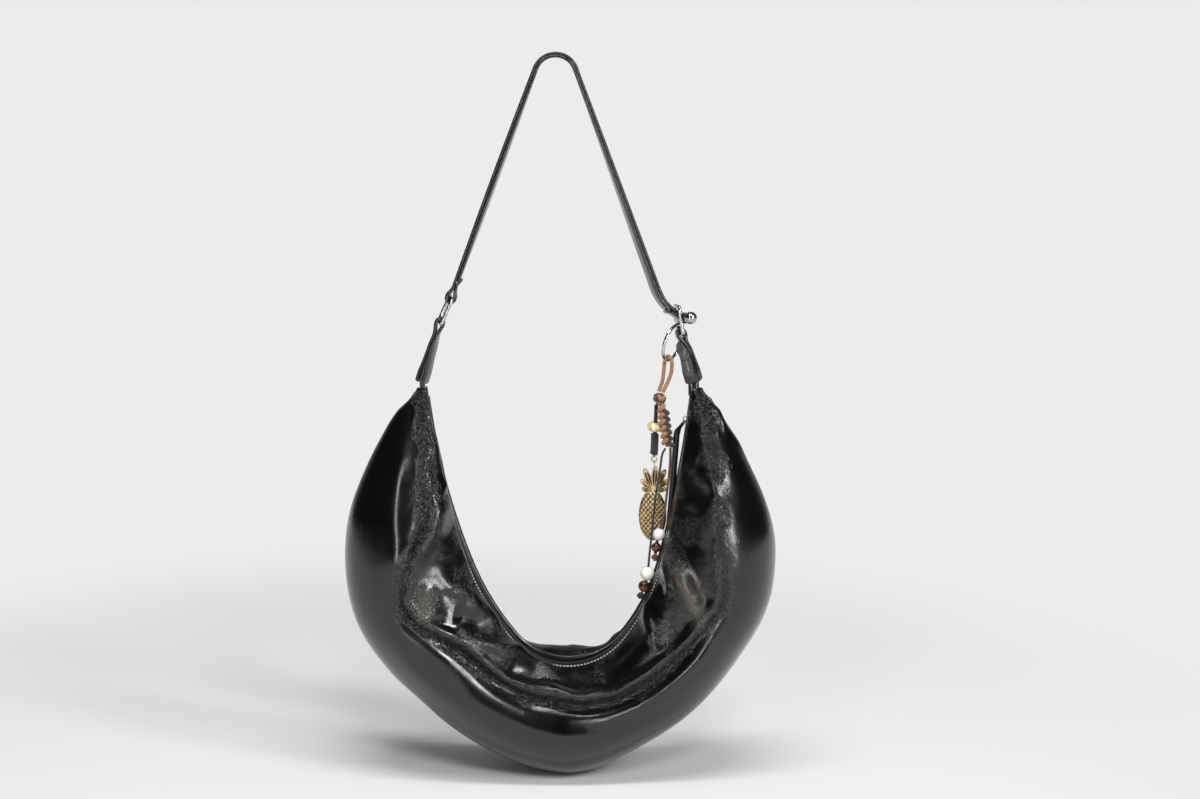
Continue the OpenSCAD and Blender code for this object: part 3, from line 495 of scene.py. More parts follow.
# %% Hanging cords
CORD_A = [[96.2, -3.8, -325.7], [93.4, -4.6, -331], [91.6, -5, -343], [89.6, -5, -356],
          [87, -5, -374], [84.8, -5, -398], [82.4, -5, -420], [81.4, -5, -431], [79.6, -5, -444.4],
          [75.8, -5, -454.2]]
CORD_B = [[100.7, -1.6, -325.4], [100.5, -1.5, -337], [99.3, -1.6, -352], [97.2, -1.8, -370],
          [95.2, -2, -387], [92.3, -2, -397.2], [89.1, -2, -409.2], [87.6, -2, -420.4]]
EASE, KNOT_R, KNOT_BELOW = 0.4, 3.4, 3.6
for letter, route, r, finish, white, wood, turn in (
        ("a", CORD_A, 1.0, black_cord, (6.4, 12.03), (5.3, 9.2), 0.0),
        ("b", CORD_B, 1.1, brown_cord, (5.6, 10.53), (4.4, 10.6), 0.6)):
    line = smooth_route(route, 6)
    made = solid(f"hanging_cord_{letter}_laid", *tube(line, r), finish, "charm_cord_" + letter)
    above, joint, low = np.array(route[-3:])
    knot = wound_ball(low + KNOT_BELOW * unit(low - joint), KNOT_R, r, 4, turn)
    pieces = [turned_bead("white_ceramic_bead_" + letter, above, joint, *white, r + EASE,
                          white_ceramic, "white_bead_" + letter),
              turned_bead("dark_wood_bead_" + letter, joint, low, *wood, r + EASE, dark_wood,
                          "wood_bead_" + letter),
              solid(f"hanging_cord_{letter}_knot", *knot, finish, f"cord_{letter}_knot")]
    print(made.name, "is", round(steps_along(line)[-1], 1), "mm long")

# %% [markdown]
# ## The shape of the bag
# The bag is a crescent: two leather skins that are sewn together along the outer curve and open
# along the mouth. The mouth's middle line is a chain of arcs, and each skin bellies out from its
# lip and comes back to the seam. The same few numbers as in the CAD model give both.

# %% Mouth and skin
MOUTH_LOW = (10, -517.5)
ARCS = {-1: ((60, 50), (240, 18), (569, 16.62)), 1: ((60, 50), (170, 25), (1030, 9))}
WIDEST, DEEPEST, LIP, SEAM_HALF = 105, 56, 14, 0.8
WIDTHS = {-1: (0.97, 0.92, 0.97, 1.04, 1.085, 1.05, 0.955, 0.815, 0.6, 0.365, 0.14),
          1: (0.97, 0.87, 0.9, 0.935, 0.985, 0.965, 0.89, 0.735, 0.53, 0.31, 0.092)}
DEPTHS = (0.98, 1, 1, 1, 0.98, 0.93, 0.83, 0.69, 0.5, 0.3, 0.12)
LIPS = (1, 1, 1, 1, 1, 1, 1, 0.98, 0.94, 0.85, 0.45)
SIDES = (("front", -1), ("back", 1))


def hill(x, half):
    """A soft hill, 1 high at x = 0 and almost flat at twice its half width."""
    return np.exp(-((x / half) ** 2))


def soft_step(x):
    """0 up to x = 0 and 1 from x = 1, with soft ends."""
    x = np.clip(x, 0, 1)
    return x * x * (3 - 2 * x)


def share_at(shares, u):
    """Soft curve through even shares, at places u from 0 to 1."""
    v, n = np.asarray(shares, float), len(shares) - 1
    k = np.minimum((u * n).astype(int), n - 1)
    return soft_between(v[np.maximum(k - 1, 0)], v[k], v[k + 1], v[np.minimum(k + 2, n)], u * n - k)


def mouth(t):
    """x, z and outward direction of the mouth's middle line, from -1 at the left tip to 1."""
    t = np.asarray(t, float)
    out = np.zeros(t.shape + (4,))
    for side, arcs in ARCS.items():
        left = np.abs(t) * sum(r * math.radians(a) for r, a in arcs)
        x, z, turn = (np.zeros(t.shape) for _ in range(3))
        for i, (r, a) in enumerate(arcs):
            step = left if i == len(arcs) - 1 else np.minimum(left, r * math.radians(a))
            after = turn + step / r
            x = x + r * (np.sin(after) - np.sin(turn))
            z = z + r * (np.cos(turn) - np.cos(after))
            turn, left = after, left - step
        here = np.stack([MOUTH_LOW[0] + side * x, z + MOUTH_LOW[1], side * np.sin(turn),
                         -np.cos(turn)], -1)
        out = np.where(((t < 0) == (side < 0))[..., None], here, out)
    return out


def place(t, a, y):
    """Point at a share t of the mouth, a millimetres outward from it and at depth y."""
    m = mouth(t)
    y = np.broadcast_to(y, m.shape[:-1])
    return np.stack([m[..., 0] + m[..., 2] * a, y, m[..., 1] + m[..., 3] * a], -1)


def width_at(t):
    """Millimetres from the mouth out to the outer seam. The left tip is gathered."""
    gathered = 0.62 + 0.38 * np.clip((1 + t) / 0.06, 0, 1)
    return WIDEST * np.where(t < 0, share_at(WIDTHS[-1], abs(t)) * gathered,
                             share_at(WIDTHS[1], abs(t)))


def lip_at(t):
    """Millimetres from the middle plane of the bag to each lip."""
    return LIP * share_at(LIPS, abs(t))


def skin_at(t, p, side):
    """Place on the front (-1) or back (1) skin, p from 0 at the lip to 1 at the outer seam."""
    d = DEEPEST * share_at(DEPTHS, abs(t)) - SEAM_HALF
    edge = np.arcsin(np.minimum(0.98, (lip_at(t) - SEAM_HALF) / d))
    q = edge + (math.pi - edge) * p
    a = width_at(t) * (np.cos(edge) - np.cos(q)) / (1 + np.cos(edge))
    sink = 0.1 * hill(p - 0.36, 0.1) * hill(t, 0.55) if side < 0 else 0
    return place(t, a, side * (SEAM_HALF + d * np.sin(q) * (1 - sink)))


def outward(grid, side):
    """The way out at each place of a skin."""
    return side * unit(np.cross(np.gradient(grid, axis=0), np.gradient(grid, axis=1)))


print("tips at", place(np.array([-1.0, 1.0]), 0, 0).round(2).tolist())

# %% [markdown]
# ## Folds
# A stuffed bag of soft skin has a few large folds that fall from its tips and along its belly, one
# deep crease between the slack flap and the round lower part, and many small wrinkles on the slack
# side. The large folds are drawn as lines in the picture, each with a height and a half width in
# millimetres, and moved onto the skin. Noise with sharp ridges gives the wrinkles. The crease has a
# roll of leather on its slack side, and along the limbs it rises into a long ridge.

# %% Folds
PIXEL = 0.88
CREASE = [(417, 384), (421, 423), (422, 460), (423, 480), (423, 503), (421, 523), (413, 546),
          (408, 560), (403, 575), (400, 590), (401, 603), (409.7, 620), (422, 631), (440, 640),
          (457.6, 650), (473.5, 662), (489.5, 676), (508.6, 688), (529.4, 697), (553, 702),
          (590, 705.5), (621, 698), (643, 687), (661, 673), (682.5, 655), (698, 640), (713, 621),
          (722, 609), (726, 591), (724, 562), (722, 529), (721, 496), (717, 473), (711, 443),
          (706, 413), (701, 386)]
CREASE_DEEP, SLACK_HALF, TIGHT_HALF = 5.5, 2.8, 8.0
ROLL_HIGH, ROLL_OFF, ROLL_HALF = 4.0, 7.5, 4.5
RIDGE_HIGH, RIDGE_WIDE = 10, 24
FOLDS = [
    (5.5, 9, [(438, 490), (436, 510), (430, 532), (419, 552), (411, 575)]),
    (-3.5, 6, [(424, 500), (419, 530), (410, 552)]),
    (2.5, 4, [(421, 388), (425, 420), (433, 455), (437, 470)]),
    (1.5, 4, [(442, 476), (438, 490), (430, 500)]),
    (3.5, 7, [(441.6, 574), (451, 587), (469, 595), (478, 605), (493, 617), (497.5, 629),
              (499, 641)]),
    (4.5, 6, [(448, 632), (466, 638), (483, 644.5), (505, 649), (529, 649), (545, 662),
              (558, 675)]),
    (3, 4.5, [(508, 683), (537, 684), (553, 688), (566, 696), (580, 700)]),
    (5, 11, [(424, 578), (427, 605), (431, 630)]),
    (2.5, 3, [(414, 580), (405, 600), (409, 618)]),
    (-4, 9, [(452, 615), (475, 622), (490, 630)]),
    (-4, 10, [(500, 668), (530, 676), (550, 682)]),
    (-3, 9, [(560, 672), (590, 680), (620, 672)]),
    (2, 9, [(401, 440), (395, 510), (396, 560), (393, 600)]),
    (4.5, 8, [(672, 558), (684, 585), (694, 606), (698, 622)]),
    (2.5, 4, [(663, 560), (668, 579), (670, 601)]),
    (3.5, 5, [(653, 592), (647, 612), (650, 629), (655, 648)]),
    (-4, 8, [(662, 610), (672, 632), (668, 655)]),
    (2.5, 7, [(700, 470), (716, 493), (712, 521), (704, 540)]),
    (-1.2, 9, [(690, 500), (694, 530), (700, 560)]),
    (3.5, 4.5, [(556, 688), (578, 699), (595, 694), (615, 694), (629, 683), (646, 674),
                (662, 671)]),
    (1.4, 2.2, [(711, 402), (717, 418), (726, 440)]),
    (1.2, 2.0, [(708, 400), (722, 425), (746, 459)]),
    (1.8, 4, [(715, 640), (700, 660), (672, 685), (640, 704)]),
    (-1.5, 7, [(700, 690), (660, 712), (610, 728), (560, 730)]),
    (1.6, 8, [(380, 620), (400, 650), (440, 690), (500, 722)]),
    (1.6, 2.0, [(418, 386), (417, 400), (414, 425)]),
    (1.4, 2.0, [(425, 386), (427, 402), (431, 432)]),
    (1.5, 2.2, [(694, 388), (700, 405), (703, 430)]),
    (1.3, 2.0, [(698, 388), (712, 405), (722, 425)]),
]
# Painted reflection patches: place in the picture, half width, half height, lean and strength.
PAINTED_REFLECTIONS = (((425, 605), 11, 28, 0.1, 0.4), ((689, 596), 9, 32, -0.45, 0.6))


def near_line(seen, line):
    """Millimetres from a drawn line, side of it (1 towards the mouth) and share along it."""
    line = smooth_route(line, 4)
    lengths = np.linalg.norm(np.diff(line, axis=0), axis=1)
    best, start = np.full(len(seen), 1e9), 0
    side, share = np.zeros(len(seen)), np.zeros(len(seen))
    for a, b, length in zip(line, line[1:], lengths):
        d = b - a
        f = np.clip((seen - a) @ d / length**2, 0, 1)
        off = seen - a - f[:, None] * d
        far = np.linalg.norm(off, axis=1)
        near = far < best
        best[near] = far[near]
        side[near] = -np.sign(d[0] * off[near, 1] - d[1] * off[near, 0])
        share[near] = (start + f[near] * length) / lengths.sum()
        start += length
    return best * PIXEL, side, share


def folded(grid, side):
    """How far each place of a skin stands out in millimetres, how slack it is, and its painted
    reflection.
    """
    flat = grid.reshape(-1, 3).copy()
    if side > 0:
        flat *= (1, -1, 1)
        flat[:, 0] = 2 * MOUTH_LOW[0] - flat[:, 0]
    seen = seen_at(flat)
    far, to_mouth, share = near_line(seen, CREASE)
    d = far * to_mouth
    from_middle = abs(2 * share - 1)
    limb = soft_step((from_middle - 0.4) / 0.25)
    groove = np.where(d > 0, hill(d, SLACK_HALF), hill(d, TIGHT_HALF))
    out = (ROLL_HIGH * hill(d - ROLL_OFF, ROLL_HALF) - CREASE_DEEP * groove) * (1 - 0.8 * limb)
    ridge = np.exp(-np.sqrt(d**2 + 4) / RIDGE_WIDE)
    out += RIDGE_HIGH * limb * ridge * soft_step((1 - from_middle) / 0.22)
    for high, half, line in FOLDS:
        away, _, along = near_line(seen, line)
        fade = soft_step(along / 0.3) * soft_step((1 - along) / 0.3) * 0.75 + 0.25
        out += high * fade * hill(away, half)
    slack = 0.05 + 0.22 * soft_step((d + 4) / 8) + 0.95 * hill(d, 6)
    crumple = [noise.ridged_multi_fractal(Vector(v) * 0.045, 0.9, 2.1, 4, 1.0, 2.0) for v in flat]
    swell = [noise.noise(Vector(v) * 0.02) for v in flat]
    out += (0.1 + slack) * 0.22 * (np.array(crumple) - 1.2) + 0.8 * np.array(swell)
    rubbed = np.zeros(len(seen))
    # Two pale brownish patches that stand for a reflection: a painted reflection. They deepen the
    # cracks too.
    for spot, wide, tall, lean, how in PAINTED_REFLECTIONS:
        dx, dy = (seen - spot).T
        rubbed += how * hill(dx + lean * dy, wide) * hill(dy, tall)
    slack += 0.9 * rubbed
    return out, np.clip(slack, 0, 1.2), np.clip(rubbed, 0, 1)


# %% Leather skins
LONG, ROUND = 380, 116
SKIN_THICK, CLOTH_THICK, PILE_HIGH = 1.4, 0.4, 15


def sheet(name, grid, side, thick, finish, node, **values):
    """A skin over a grid of points, with thickness on its inner side and values for its finish."""
    n, k = grid.shape[:2]
    along = steps_along(grid[:, k // 2])
    across = np.stack([steps_along(row) for row in grid])
    corners = [[(i, j), (i + 1, j), (i + 1, j + 1), (i, j + 1)][::side]
               for i in range(n - 1) for j in range(k - 1)]
    faces = [[a * k + b for a, b in square] for square in corners]
    uv = [(along[a], across[a, b]) for square in corners for a, b in square]
    made = solid(name, grid, faces, uv, finish, node)
    for key, value in values.items():
        keep_values(made, key, value)
    wall = made.modifiers.new("thickness", "SOLIDIFY")
    wall.thickness, wall.offset = thick * MM, -1
    bpy.context.view_layer.objects.active = made
    bpy.ops.object.modifier_apply(modifier=wall.name)


def leather_skin(name, side):
    """A panel with its folds. The back also piles up above the middle of the mouth."""
    u = np.linspace(-1, 1, LONG + 1)
    t, p = np.meshgrid(u * (0.6 + 0.4 * abs(u)), np.linspace(0, 1, ROUND + 1), indexing="ij")
    grid = skin_at(t, p, side)
    out, slack, rubbed = folded(grid, side)
    keep = soft_step(p / 0.05) * soft_step((1 - p) / 0.06) * soft_step((1 - abs(t)) / 0.025)
    out = out.reshape(t.shape) * keep
    if side > 0:
        pile = hill(t + 0.01, 0.11) * hill(p - 0.12, 0.08) * soft_step(p / 0.04)
        out = out * 0.75 + PILE_HIGH * pile
        # The back skin gets none of the painted reflection patches.
        rubbed = rubbed * 0
    grid = grid + out[..., None] * outward(grid, side)
    sheet(name + "_leather", grid, side, SKIN_THICK, black_leather, name + "_panel", slack=slack,
          rubbed=rubbed)
    print(name, "folds from", out.min().round(1), "to", out.max().round(1), "mm")
    return grid


skins = [leather_skin(name, side) for name, side in SIDES]

# %% [markdown]
# ## Lining, welt and lips
# The lining is a thin woven cloth that hangs just inside the leather. The welt is a narrow folded
# strip caught in the outer seam. Each lip is bound with a strip of smooth leather that goes down
# the inside, over the edge and a little down the outside, and one half of the zip's tape is sewn
# in under it.

# %% Lining
for (name, side), grid in zip(SIDES, skins):
    inner = (grid - 2.2 * outward(grid, side))[8:-8:4, 6:-5:3]
    sheet(name + "_lining_cloth", inner, side, CLOTH_THICK, lining_cloth, name + "_lining")

# %% Welt, lip bindings and zip tapes
WELT_WIDE, WELT_THICK = 2.3, 0.75
T_MOUTH = np.linspace(-0.97, 0.97, 241)
t = np.linspace(-0.99, 0.99, 241)
welt = [place(t, width_at(t) - 1.7 + WELT_WIDE * math.cos(s), WELT_THICK * math.sin(s))
        for s in circle(10)]
solid("outer_seam_piping", *skin_round(np.stack(welt, 1)), black_leather, "outer_seam_welt")
for name, side in SIDES:
    lip = lip_at(T_MOUTH)
    inside, push = side * (lip - 3.0), np.array([0, side * 0.7, 0])
    out_a, out_b = (skin_at(T_MOUTH, np.full(len(T_MOUTH), p), side) for p in (0.012, 0.03))
    binding = [place(T_MOUTH, 8, inside), place(T_MOUTH, 1.5, inside),
               place(T_MOUTH, -0.5, inside + side * 0.4), place(T_MOUTH, -1.1, side * (lip - 1.4)),
               place(T_MOUTH, -0.6, side * (lip + 0.1)), out_a + push, out_b + push,
               out_b - push * 0.4, out_a - push * 0.4, place(T_MOUTH, 0.6, side * (lip - 1.0)),
               place(T_MOUTH, 1.5, inside + side * 1.0), place(T_MOUTH, 8, inside + side * 1.0)]
    tape = [place(T_MOUTH, a, y) for a, y in ((5.65, side * (lip - 3.3)), (5.65, side * 2.0),
                                              (6.35, side * 2.0), (6.35, side * (lip - 3.3)))]
    for piece, rows, finish, node in (
            (name + "_lip_bound", binding, lip_leather, name + "_lip_binding"),
            (f"zip_tape_{name}_woven", tape, zip_tape_cloth, "zip_tape_" + name)):
        solid(piece, *skin_round(np.stack(rows[::-side], 1)), finish, node)


# %% [markdown]
# ## Stitches and teeth
# A stitch is a short, rounded length of thread, and a zip tooth a small stamped block. Each is
# modelled once with few faces and copied to its places in one mesh.

# %% Small repeats
def small_shape(kind):
    """Points and faces of one stitch or tooth, 1 by 1 by 1, made from a primitive."""
    bpy.ops.object.select_all(action="DESELECT")
    if kind == "stitch":
        bpy.ops.mesh.primitive_uv_sphere_add(segments=6, ring_count=5, radius=0.5)
    else:
        bpy.ops.mesh.primitive_cube_add(size=1)
        bpy.ops.object.mode_set(mode="EDIT")
        bpy.ops.mesh.bevel(offset=0.16, segments=1)
        bpy.ops.object.mode_set(mode="OBJECT")
    made = bpy.context.object
    points = np.array([v.co for v in made.data.vertices])
    faces = [list(f.vertices) for f in made.data.polygons]
    bpy.data.objects.remove(made)
    return points, faces


STITCH, TOOTH = small_shape("stitch"), small_shape("tooth")


def repeats(shape, places, ways, sides, size):
    """Copies of a shape: size is its length along the way, across the side and through."""
    points, faces = shape
    parts = []
    for p, way, side in zip(places, unit(np.asarray(ways, float)), sides):
        side = unit(side - way * (side @ way))
        turned = np.stack([way * size[0], side * size[1], np.cross(way, side) * size[2]])
        parts.append((p + points @ turned, faces, [(v[0], v[1]) for f in faces for v in points[f]]))
    return joined(parts)


def taken_at(at, line, *rows):
    """Rows of points that go with a line, read at lengths along it."""
    s = steps_along(line)
    return [np.stack([np.interp(at, s, row[:, i]) for i in range(3)], 1) for row in rows]


def along_row(line, pitch, *more):
    """Places at an even pitch along a line, the way along it there, and more of its rows."""
    s = steps_along(line)
    at = np.arange(pitch / 2, s[-1], pitch)
    return taken_at(at, line, line, np.gradient(line, s, axis=0), *more)


STITCH_PITCH, STITCH_SIZE, STITCH_LIFT = 3.1, (2.2, 1.235, 0.95), 0.35
T_STITCH = np.linspace(-0.93, 0.93, 401)
for name, side in SIDES:
    line, below = (skin_at(T_STITCH, np.full(len(T_STITCH), p), side) for p in (0.034, 0.044))
    normal = side * unit(np.cross(np.gradient(line, axis=0), below - line))
    row = along_row(line + STITCH_LIFT * normal, STITCH_PITCH, normal)
    solid(name + "_lip_stitches", *repeats(STITCH, *row, STITCH_SIZE), stitch_thread,
          name + "_lip_binding", False)

# %% Zip teeth
CHAIN_OUT, TOOTH_PITCH, TOOTH_SIZE, TOOTH_SHIFT = 6.0, 1.5, (1.05, 3.4, 2.2), 0.55
places, ways = along_row(place(np.linspace(-0.95, 0.95, 401), CHAIN_OUT, 0), TOOTH_PITCH)
sides = np.tile(DEEP, (len(places), 1))
shift = np.where(np.arange(len(places)) % 2, TOOTH_SHIFT, -TOOTH_SHIFT)[:, None] * sides
solid("zip_teeth", *repeats(TOOTH, places + shift, ways, sides, TOOTH_SIZE), zip_metal, "zip_chain")

# %% [markdown]
# ## Strap
# The strap is two plies of leather with their edges painted, bent over the peg. The outer ply goes
# on round the wire at each end and comes back as a short lap. Its route is a true arc at the crown
# and two straight legs, as in the CAD model, and the right leg bends and twists to meet the bar.

# %% Strap route
CROWN_R, STRAP_HALF = 18.45, 7.0
L_PIVOT, R_PIVOT = np.array([-117.544, 0, -264.773]), np.array([120.888, 0, -264.773])
L_LOW, R_LOW = np.array([-101.757, 0, -214.703]), np.array([109.469, 0, -224.148])
L_RING_TOP, BAR = np.array([-91.9956, 0, -192.778]), np.array([113.399, 0, -211.264])
BAR_AXIS = np.array([-0.239568, 0.960853, -0.139173])
R_KNEE = BAR + (-26.9, 0, 27.5)
LEAN, TWIST, L_TWIST = math.radians(70), math.radians(-22), math.radians(8)


def leg_start(x, z):
    """Turn and place at which a leg to a point leaves the crown."""
    turn = math.acos(CROWN_R / math.hypot(x, z)) + math.atan2(z, x)
    return turn, CROWN_R * np.array([math.cos(turn), 0, math.sin(turn)])


def bezier(a, b, c, d, u):
    """Points on a curve that leaves a towards b and comes to d from c."""
    u = np.asarray(u)[:, None]
    return (1 - u) ** 3 * a + 3 * u * (1 - u) ** 2 * b + 3 * u * u * (1 - u) * c + u**3 * d


def across_of(way, turn):
    """Width direction of a strap that runs along a way in the XZ plane, turned about that way."""
    flat = np.array([-way[2], 0, way[0]])
    return math.cos(turn) * DEEP + math.sin(turn) * flat


def even_steps(line, sides, pitch):
    """The same line with points at an even pitch."""
    far = steps_along(line)[-1]
    return taken_at(np.linspace(0, far, round(far / pitch) + 1), line, line, sides)


right_turn, right_top = leg_start(R_KNEE[0], R_KNEE[2])
left_turn, left_top = leg_start(-L_RING_TOP[0], L_RING_TOP[2])
left_top = left_top * (-1, 1, 1)
right_way, left_way = unit(R_KNEE - right_top), unit(L_RING_TOP - left_top)
bar_in = np.array([math.sin(LEAN), 0, -math.cos(LEAN)])
bar_in = unit(bar_in - BAR_AXIS * (BAR_AXIS @ bar_in))
bar_end, left_end = BAR - bar_in * 2.66, L_RING_TOP - left_way * 2.2

right_run, bend_run, left_run = (np.linspace(0, 1, n) for n in (30, 19, 40))
right_run = right_run[:-1]
bend = bezier(R_KNEE, R_KNEE + 13 * right_way, bar_end - 13 * bar_in, bar_end, bend_run)
right_leg = np.concatenate([between(right_top, R_KNEE, right_run), bend])
right_sides = [across_of(right_way, TWIST * f) for f in right_run]
right_sides += [unit((1 - f) * across_of(right_way, TWIST) + f * BAR_AXIS) for f in bend_run]
left_leg = between(left_top, left_end, left_run)
left_sides = [across_of(left_way, L_TWIST * math.sin(math.pi * f)) for f in left_run]
crown_turn = np.linspace(math.pi - left_turn, right_turn, 41)[1:-1]
crown = CROWN_R * np.stack([np.cos(crown_turn), 0 * crown_turn, np.sin(crown_turn)], 1)
middle, sides = even_steps(
    np.concatenate([left_leg[::-1], crown, right_leg]),
    np.concatenate([left_sides[::-1], np.tile(DEEP, (len(crown), 1)), right_sides]), 1.5)
print("strap is", round(steps_along(middle)[-1]), "mm long between its eyes")


# %% Bands of leather
def side_frame(line, sides):
    """Width and thickness directions of a band along a line."""
    ways = unit(np.gradient(line, axis=0))
    s = unit(sides - ways * (sides * ways).sum(1, keepdims=True))
    return s, np.cross(ways, s)


def offset(line, sides, far):
    """The line moved off its middle, along the thickness of its band."""
    return line + np.broadcast_to(far, len(line))[:, None] * side_frame(line, sides)[1]


def band(line, sides, half, thick):
    """Rings of a flat leather band with eased edges, round a line through its middle."""
    s, n = side_frame(line, sides)
    half = np.broadcast_to(half, len(line))[:, None]
    h = np.broadcast_to(thick, len(line))[:, None] / 2
    c = h / 2
    edge = [(-c, -h), (-c * 0.25, -h * 0.75), (0, 0), (-c * 0.25, h * 0.75), (-c, h)]
    rings = [line + (half + inset) * s + up * n for inset, up in edge]
    rings += [line - (half + inset) * s + up * n for inset, up in edge[::-1]]
    return np.stack(rings[-1:] + rings[:-1], 1)


def eye_round(centre, axis, way_in, r):
    """Half a turn of band round a wire, from one side of the way in to the other."""
    f = np.linspace(0, math.pi, 16)[1:-1, None]
    return centre + r * (np.cos(f) * np.cross(way_in, axis) + np.sin(f) * way_in)


def spread(count, r, near):
    """How far a ply stands off the middle, from its eye on over the next points."""
    return near + (r - near) * np.clip(1 - np.arange(count) / 6, 0, 1) ** 2


# %% Strap plies
PLY, LAP, LAP_END, EYE_R, EYE_L = 2.4, 12, (5.2, 6.6), 3.26, 3.4
PLY_OFF, LAP_LIFT, EYE_EXTRA = 1.25, 1.9, 1.2
count = len(middle)
far = np.maximum(spread(count, EYE_L, PLY_OFF), spread(count, EYE_R, PLY_OFF)[::-1])
raised = LAP_LIFT * np.clip((np.arange(LAP) - LAP + 5) / 3, 0, 1)
raised = np.concatenate([raised, np.zeros(count - 2 * LAP), raised[::-1]])
laps = offset(middle, sides, -far - raised)
left_eye = eye_round(L_RING_TOP, DEEP, left_way, EYE_L)
right_eye = eye_round(BAR, BAR_AXIS, bar_in, EYE_R)
outer = np.concatenate([laps[:LAP][::-1], left_eye, offset(middle, sides, far), right_eye,
                        laps[-LAP:][::-1]])
outer_sides = np.concatenate([sides[:LAP][::-1], np.tile(DEEP, (len(left_eye), 1)), sides,
                              np.tile(BAR_AXIS, (len(right_eye), 1)), sides[-LAP:][::-1]])
half = np.full(len(outer), STRAP_HALF)
half[:2], half[-2:] = LAP_END, LAP_END[::-1]
from_left_eye = abs(np.arange(len(outer)) - LAP - 7)
thick = PLY + EYE_EXTRA * soft_step((14 - from_left_eye) / 7)
solid("strap_outer_leather", *skin_round(band(outer, outer_sides, half, thick)), strap_leather,
      "strap_outer_ply")
inner, inner_sides = (row[LAP - 3:3 - LAP] for row in (offset(middle, sides, -PLY_OFF), sides))
solid("strap_inner_leather", *skin_round(band(inner, inner_sides, STRAP_HALF, PLY)), strap_leather,
      "strap_inner_ply")
print("outer ply is", round(steps_along(outer)[-1]), "mm long")

# %% [markdown]
# ## Tabs and tongues
# A tab is one band that goes over the ring's lower wire and down both sides of the tongue, where it
# is riveted and sewn, with a leather filling between its sides. On the right it turns its face to
# the viewer, and a hem and a lap are sewn onto it, coloured a paler grey as a painted sheen. The
# tongue is the drawn-out end of the bag itself, so it is thick and round.

# %% Tabs
TAB_EYE, TAB_PLY, KNEE, TAB_END = 3.2, 2.1, 7.5, 3.0
OFF_WIRE, OFF_TONGUE = 0.98, 3.0


def leather_tab(name, eye, axis, pivot, eye_w, wide, turn, node):
    """A tab from its eye to the tongue. Gives its line, width direction and half depth."""
    down = unit(pivot - eye)
    start, knee = eye + down * 2.2, pivot - down * KNEE
    reach = np.linalg.norm(knee - start) / 3 * down
    run = np.linspace(0, 1, 25)
    quarter = np.linspace(0, math.pi / 2, 9)[1:]
    below = np.concatenate([np.linspace(0, KNEE, 4)[1:], KNEE + TAB_END * np.sin(quarter)])
    line = np.concatenate([bezier(start, start + reach, knee - reach, knee, run),
                           knee + below[:, None] * down])
    twist = (turn * soft_step(run / 0.55))[:, None]
    across = unit(np.cos(twist) * between(axis, DEEP, run) - np.sin(twist) * np.array([1, 0, 0]))
    across = np.concatenate([across, np.tile(across[-1], (len(below), 1))])
    share = np.concatenate([run, np.ones(len(below))])
    half = (eye_w + (wide - eye_w) * share) / 2
    half[-8:] = wide / 2 * (0.45 + 0.55 * np.cos(quarter))
    off = OFF_WIRE + (OFF_TONGUE - OFF_WIRE) * share**3
    off = np.maximum(off, spread(len(line), TAB_EYE, 1.3))
    over = eye_round(eye, axis, -down, TAB_EYE)
    path = np.concatenate([offset(line, across, -off)[::-1], over, offset(line, across, off)])
    path_sides = np.concatenate([across[::-1], np.tile(axis, (len(over), 1)), across])
    path_half = np.concatenate([half[::-1], np.full(len(over), eye_w / 2), half])
    from_eye = abs(np.arange(len(path)) - len(line) - 7)
    tab = skin_round(band(path, path_sides, path_half, TAB_PLY + soft_step((16 - from_eye) / 7)))
    core = [band(line[i:i + 2], across[i:i + 2], half[i:i + 2] - 0.5, 2 * off[i] + 0.2)
            for i in range(6, len(line) - 1)]
    core = skin_round(np.concatenate([c[:1] for c in core] + [core[-1][1:]]))
    solid(name, *joined([tab, core]), strap_leather, node)
    return line, across, off


R_RING_AXIS = np.array([-0.171957, 0.984808, -0.024167])
HEM_THICK, HEM_SIDE = 1.6, 1.6
leather_tab("left_tab_leather", L_LOW, DEEP, L_PIVOT, 13, 13, math.radians(-24), "left_tab")
line, across, off = leather_tab("right_tab_leather", R_LOW, R_RING_AXIS, R_PIVOT, 10, 15,
                                math.radians(78), "right_tab")
for name, first, last, half_w, lift in (("right_tab_hem", 15, 27, 4.6, 1.4),
                                        ("right_tab_lap", 4, 17, 4.4, 3.0)):
    side = across[first:last]
    row = offset(line[first:last], side, -(off[first:last] + lift)) + side * HEM_SIDE
    to_end = np.clip((np.arange(len(row)) - len(row) + 4) / 3.2, 0, 0.97)
    half = half_w * np.sqrt(1 - to_end**2)
    # The hem and the lap take the paler leather, a painted sheen.
    solid(name, *skin_round(band(row, side, half, HEM_THICK)), sheen_painted_strap_leather, "right_tab",
          False)
    seam = offset(row, side, -0.95)
    reach = side[-3] * (half[-3] - 0.6)
    dashes = np.linspace(seam[-3] - reach, seam[-3] + reach, 5)
    ways, ups = np.tile(side[-3], (5, 1)), np.tile(unit(seam[-3] - seam[-4]), (5, 1))
    solid(name + "_stitches", *repeats(STITCH, dashes, ways, ups, (1.3, 0.7, 0.6)), dark_thread,
          "right_tab", False)


# %% Tongues
def tongue(name, pivot, tip_z, half_x, half_y, node):
    """The drawn-out end of the bag: a round-topped tongue that widens into the gathered tip."""
    high = [(pivot[2] + half_y * math.cos(a), half_y * math.sin(a))
            for a in np.linspace(0.12, 1.57, 9)]
    high += zip(np.linspace(high[-1][0] - 0.8, tip_z - 7.0, 8), np.linspace(half_y, 4.6, 8))
    c, s = np.cos(circle(16)), np.sin(circle(16))
    rings = [np.stack([pivot[0] + half_x * np.sign(c) * abs(c) ** 0.6,
                       -w * np.sign(s) * abs(s) ** 0.75, np.full(16, z)], 1) for z, w in high]
    solid(name, *skin_round(np.array(rings)), strap_leather, node)


tongue("left_tongue_leather", L_PIVOT, -271.903, 2.6, 5.6, "left_tip_tongue")
tongue("right_tongue_leather", R_PIVOT, -271.873, 4.8, 2.6, "right_tip_tongue")

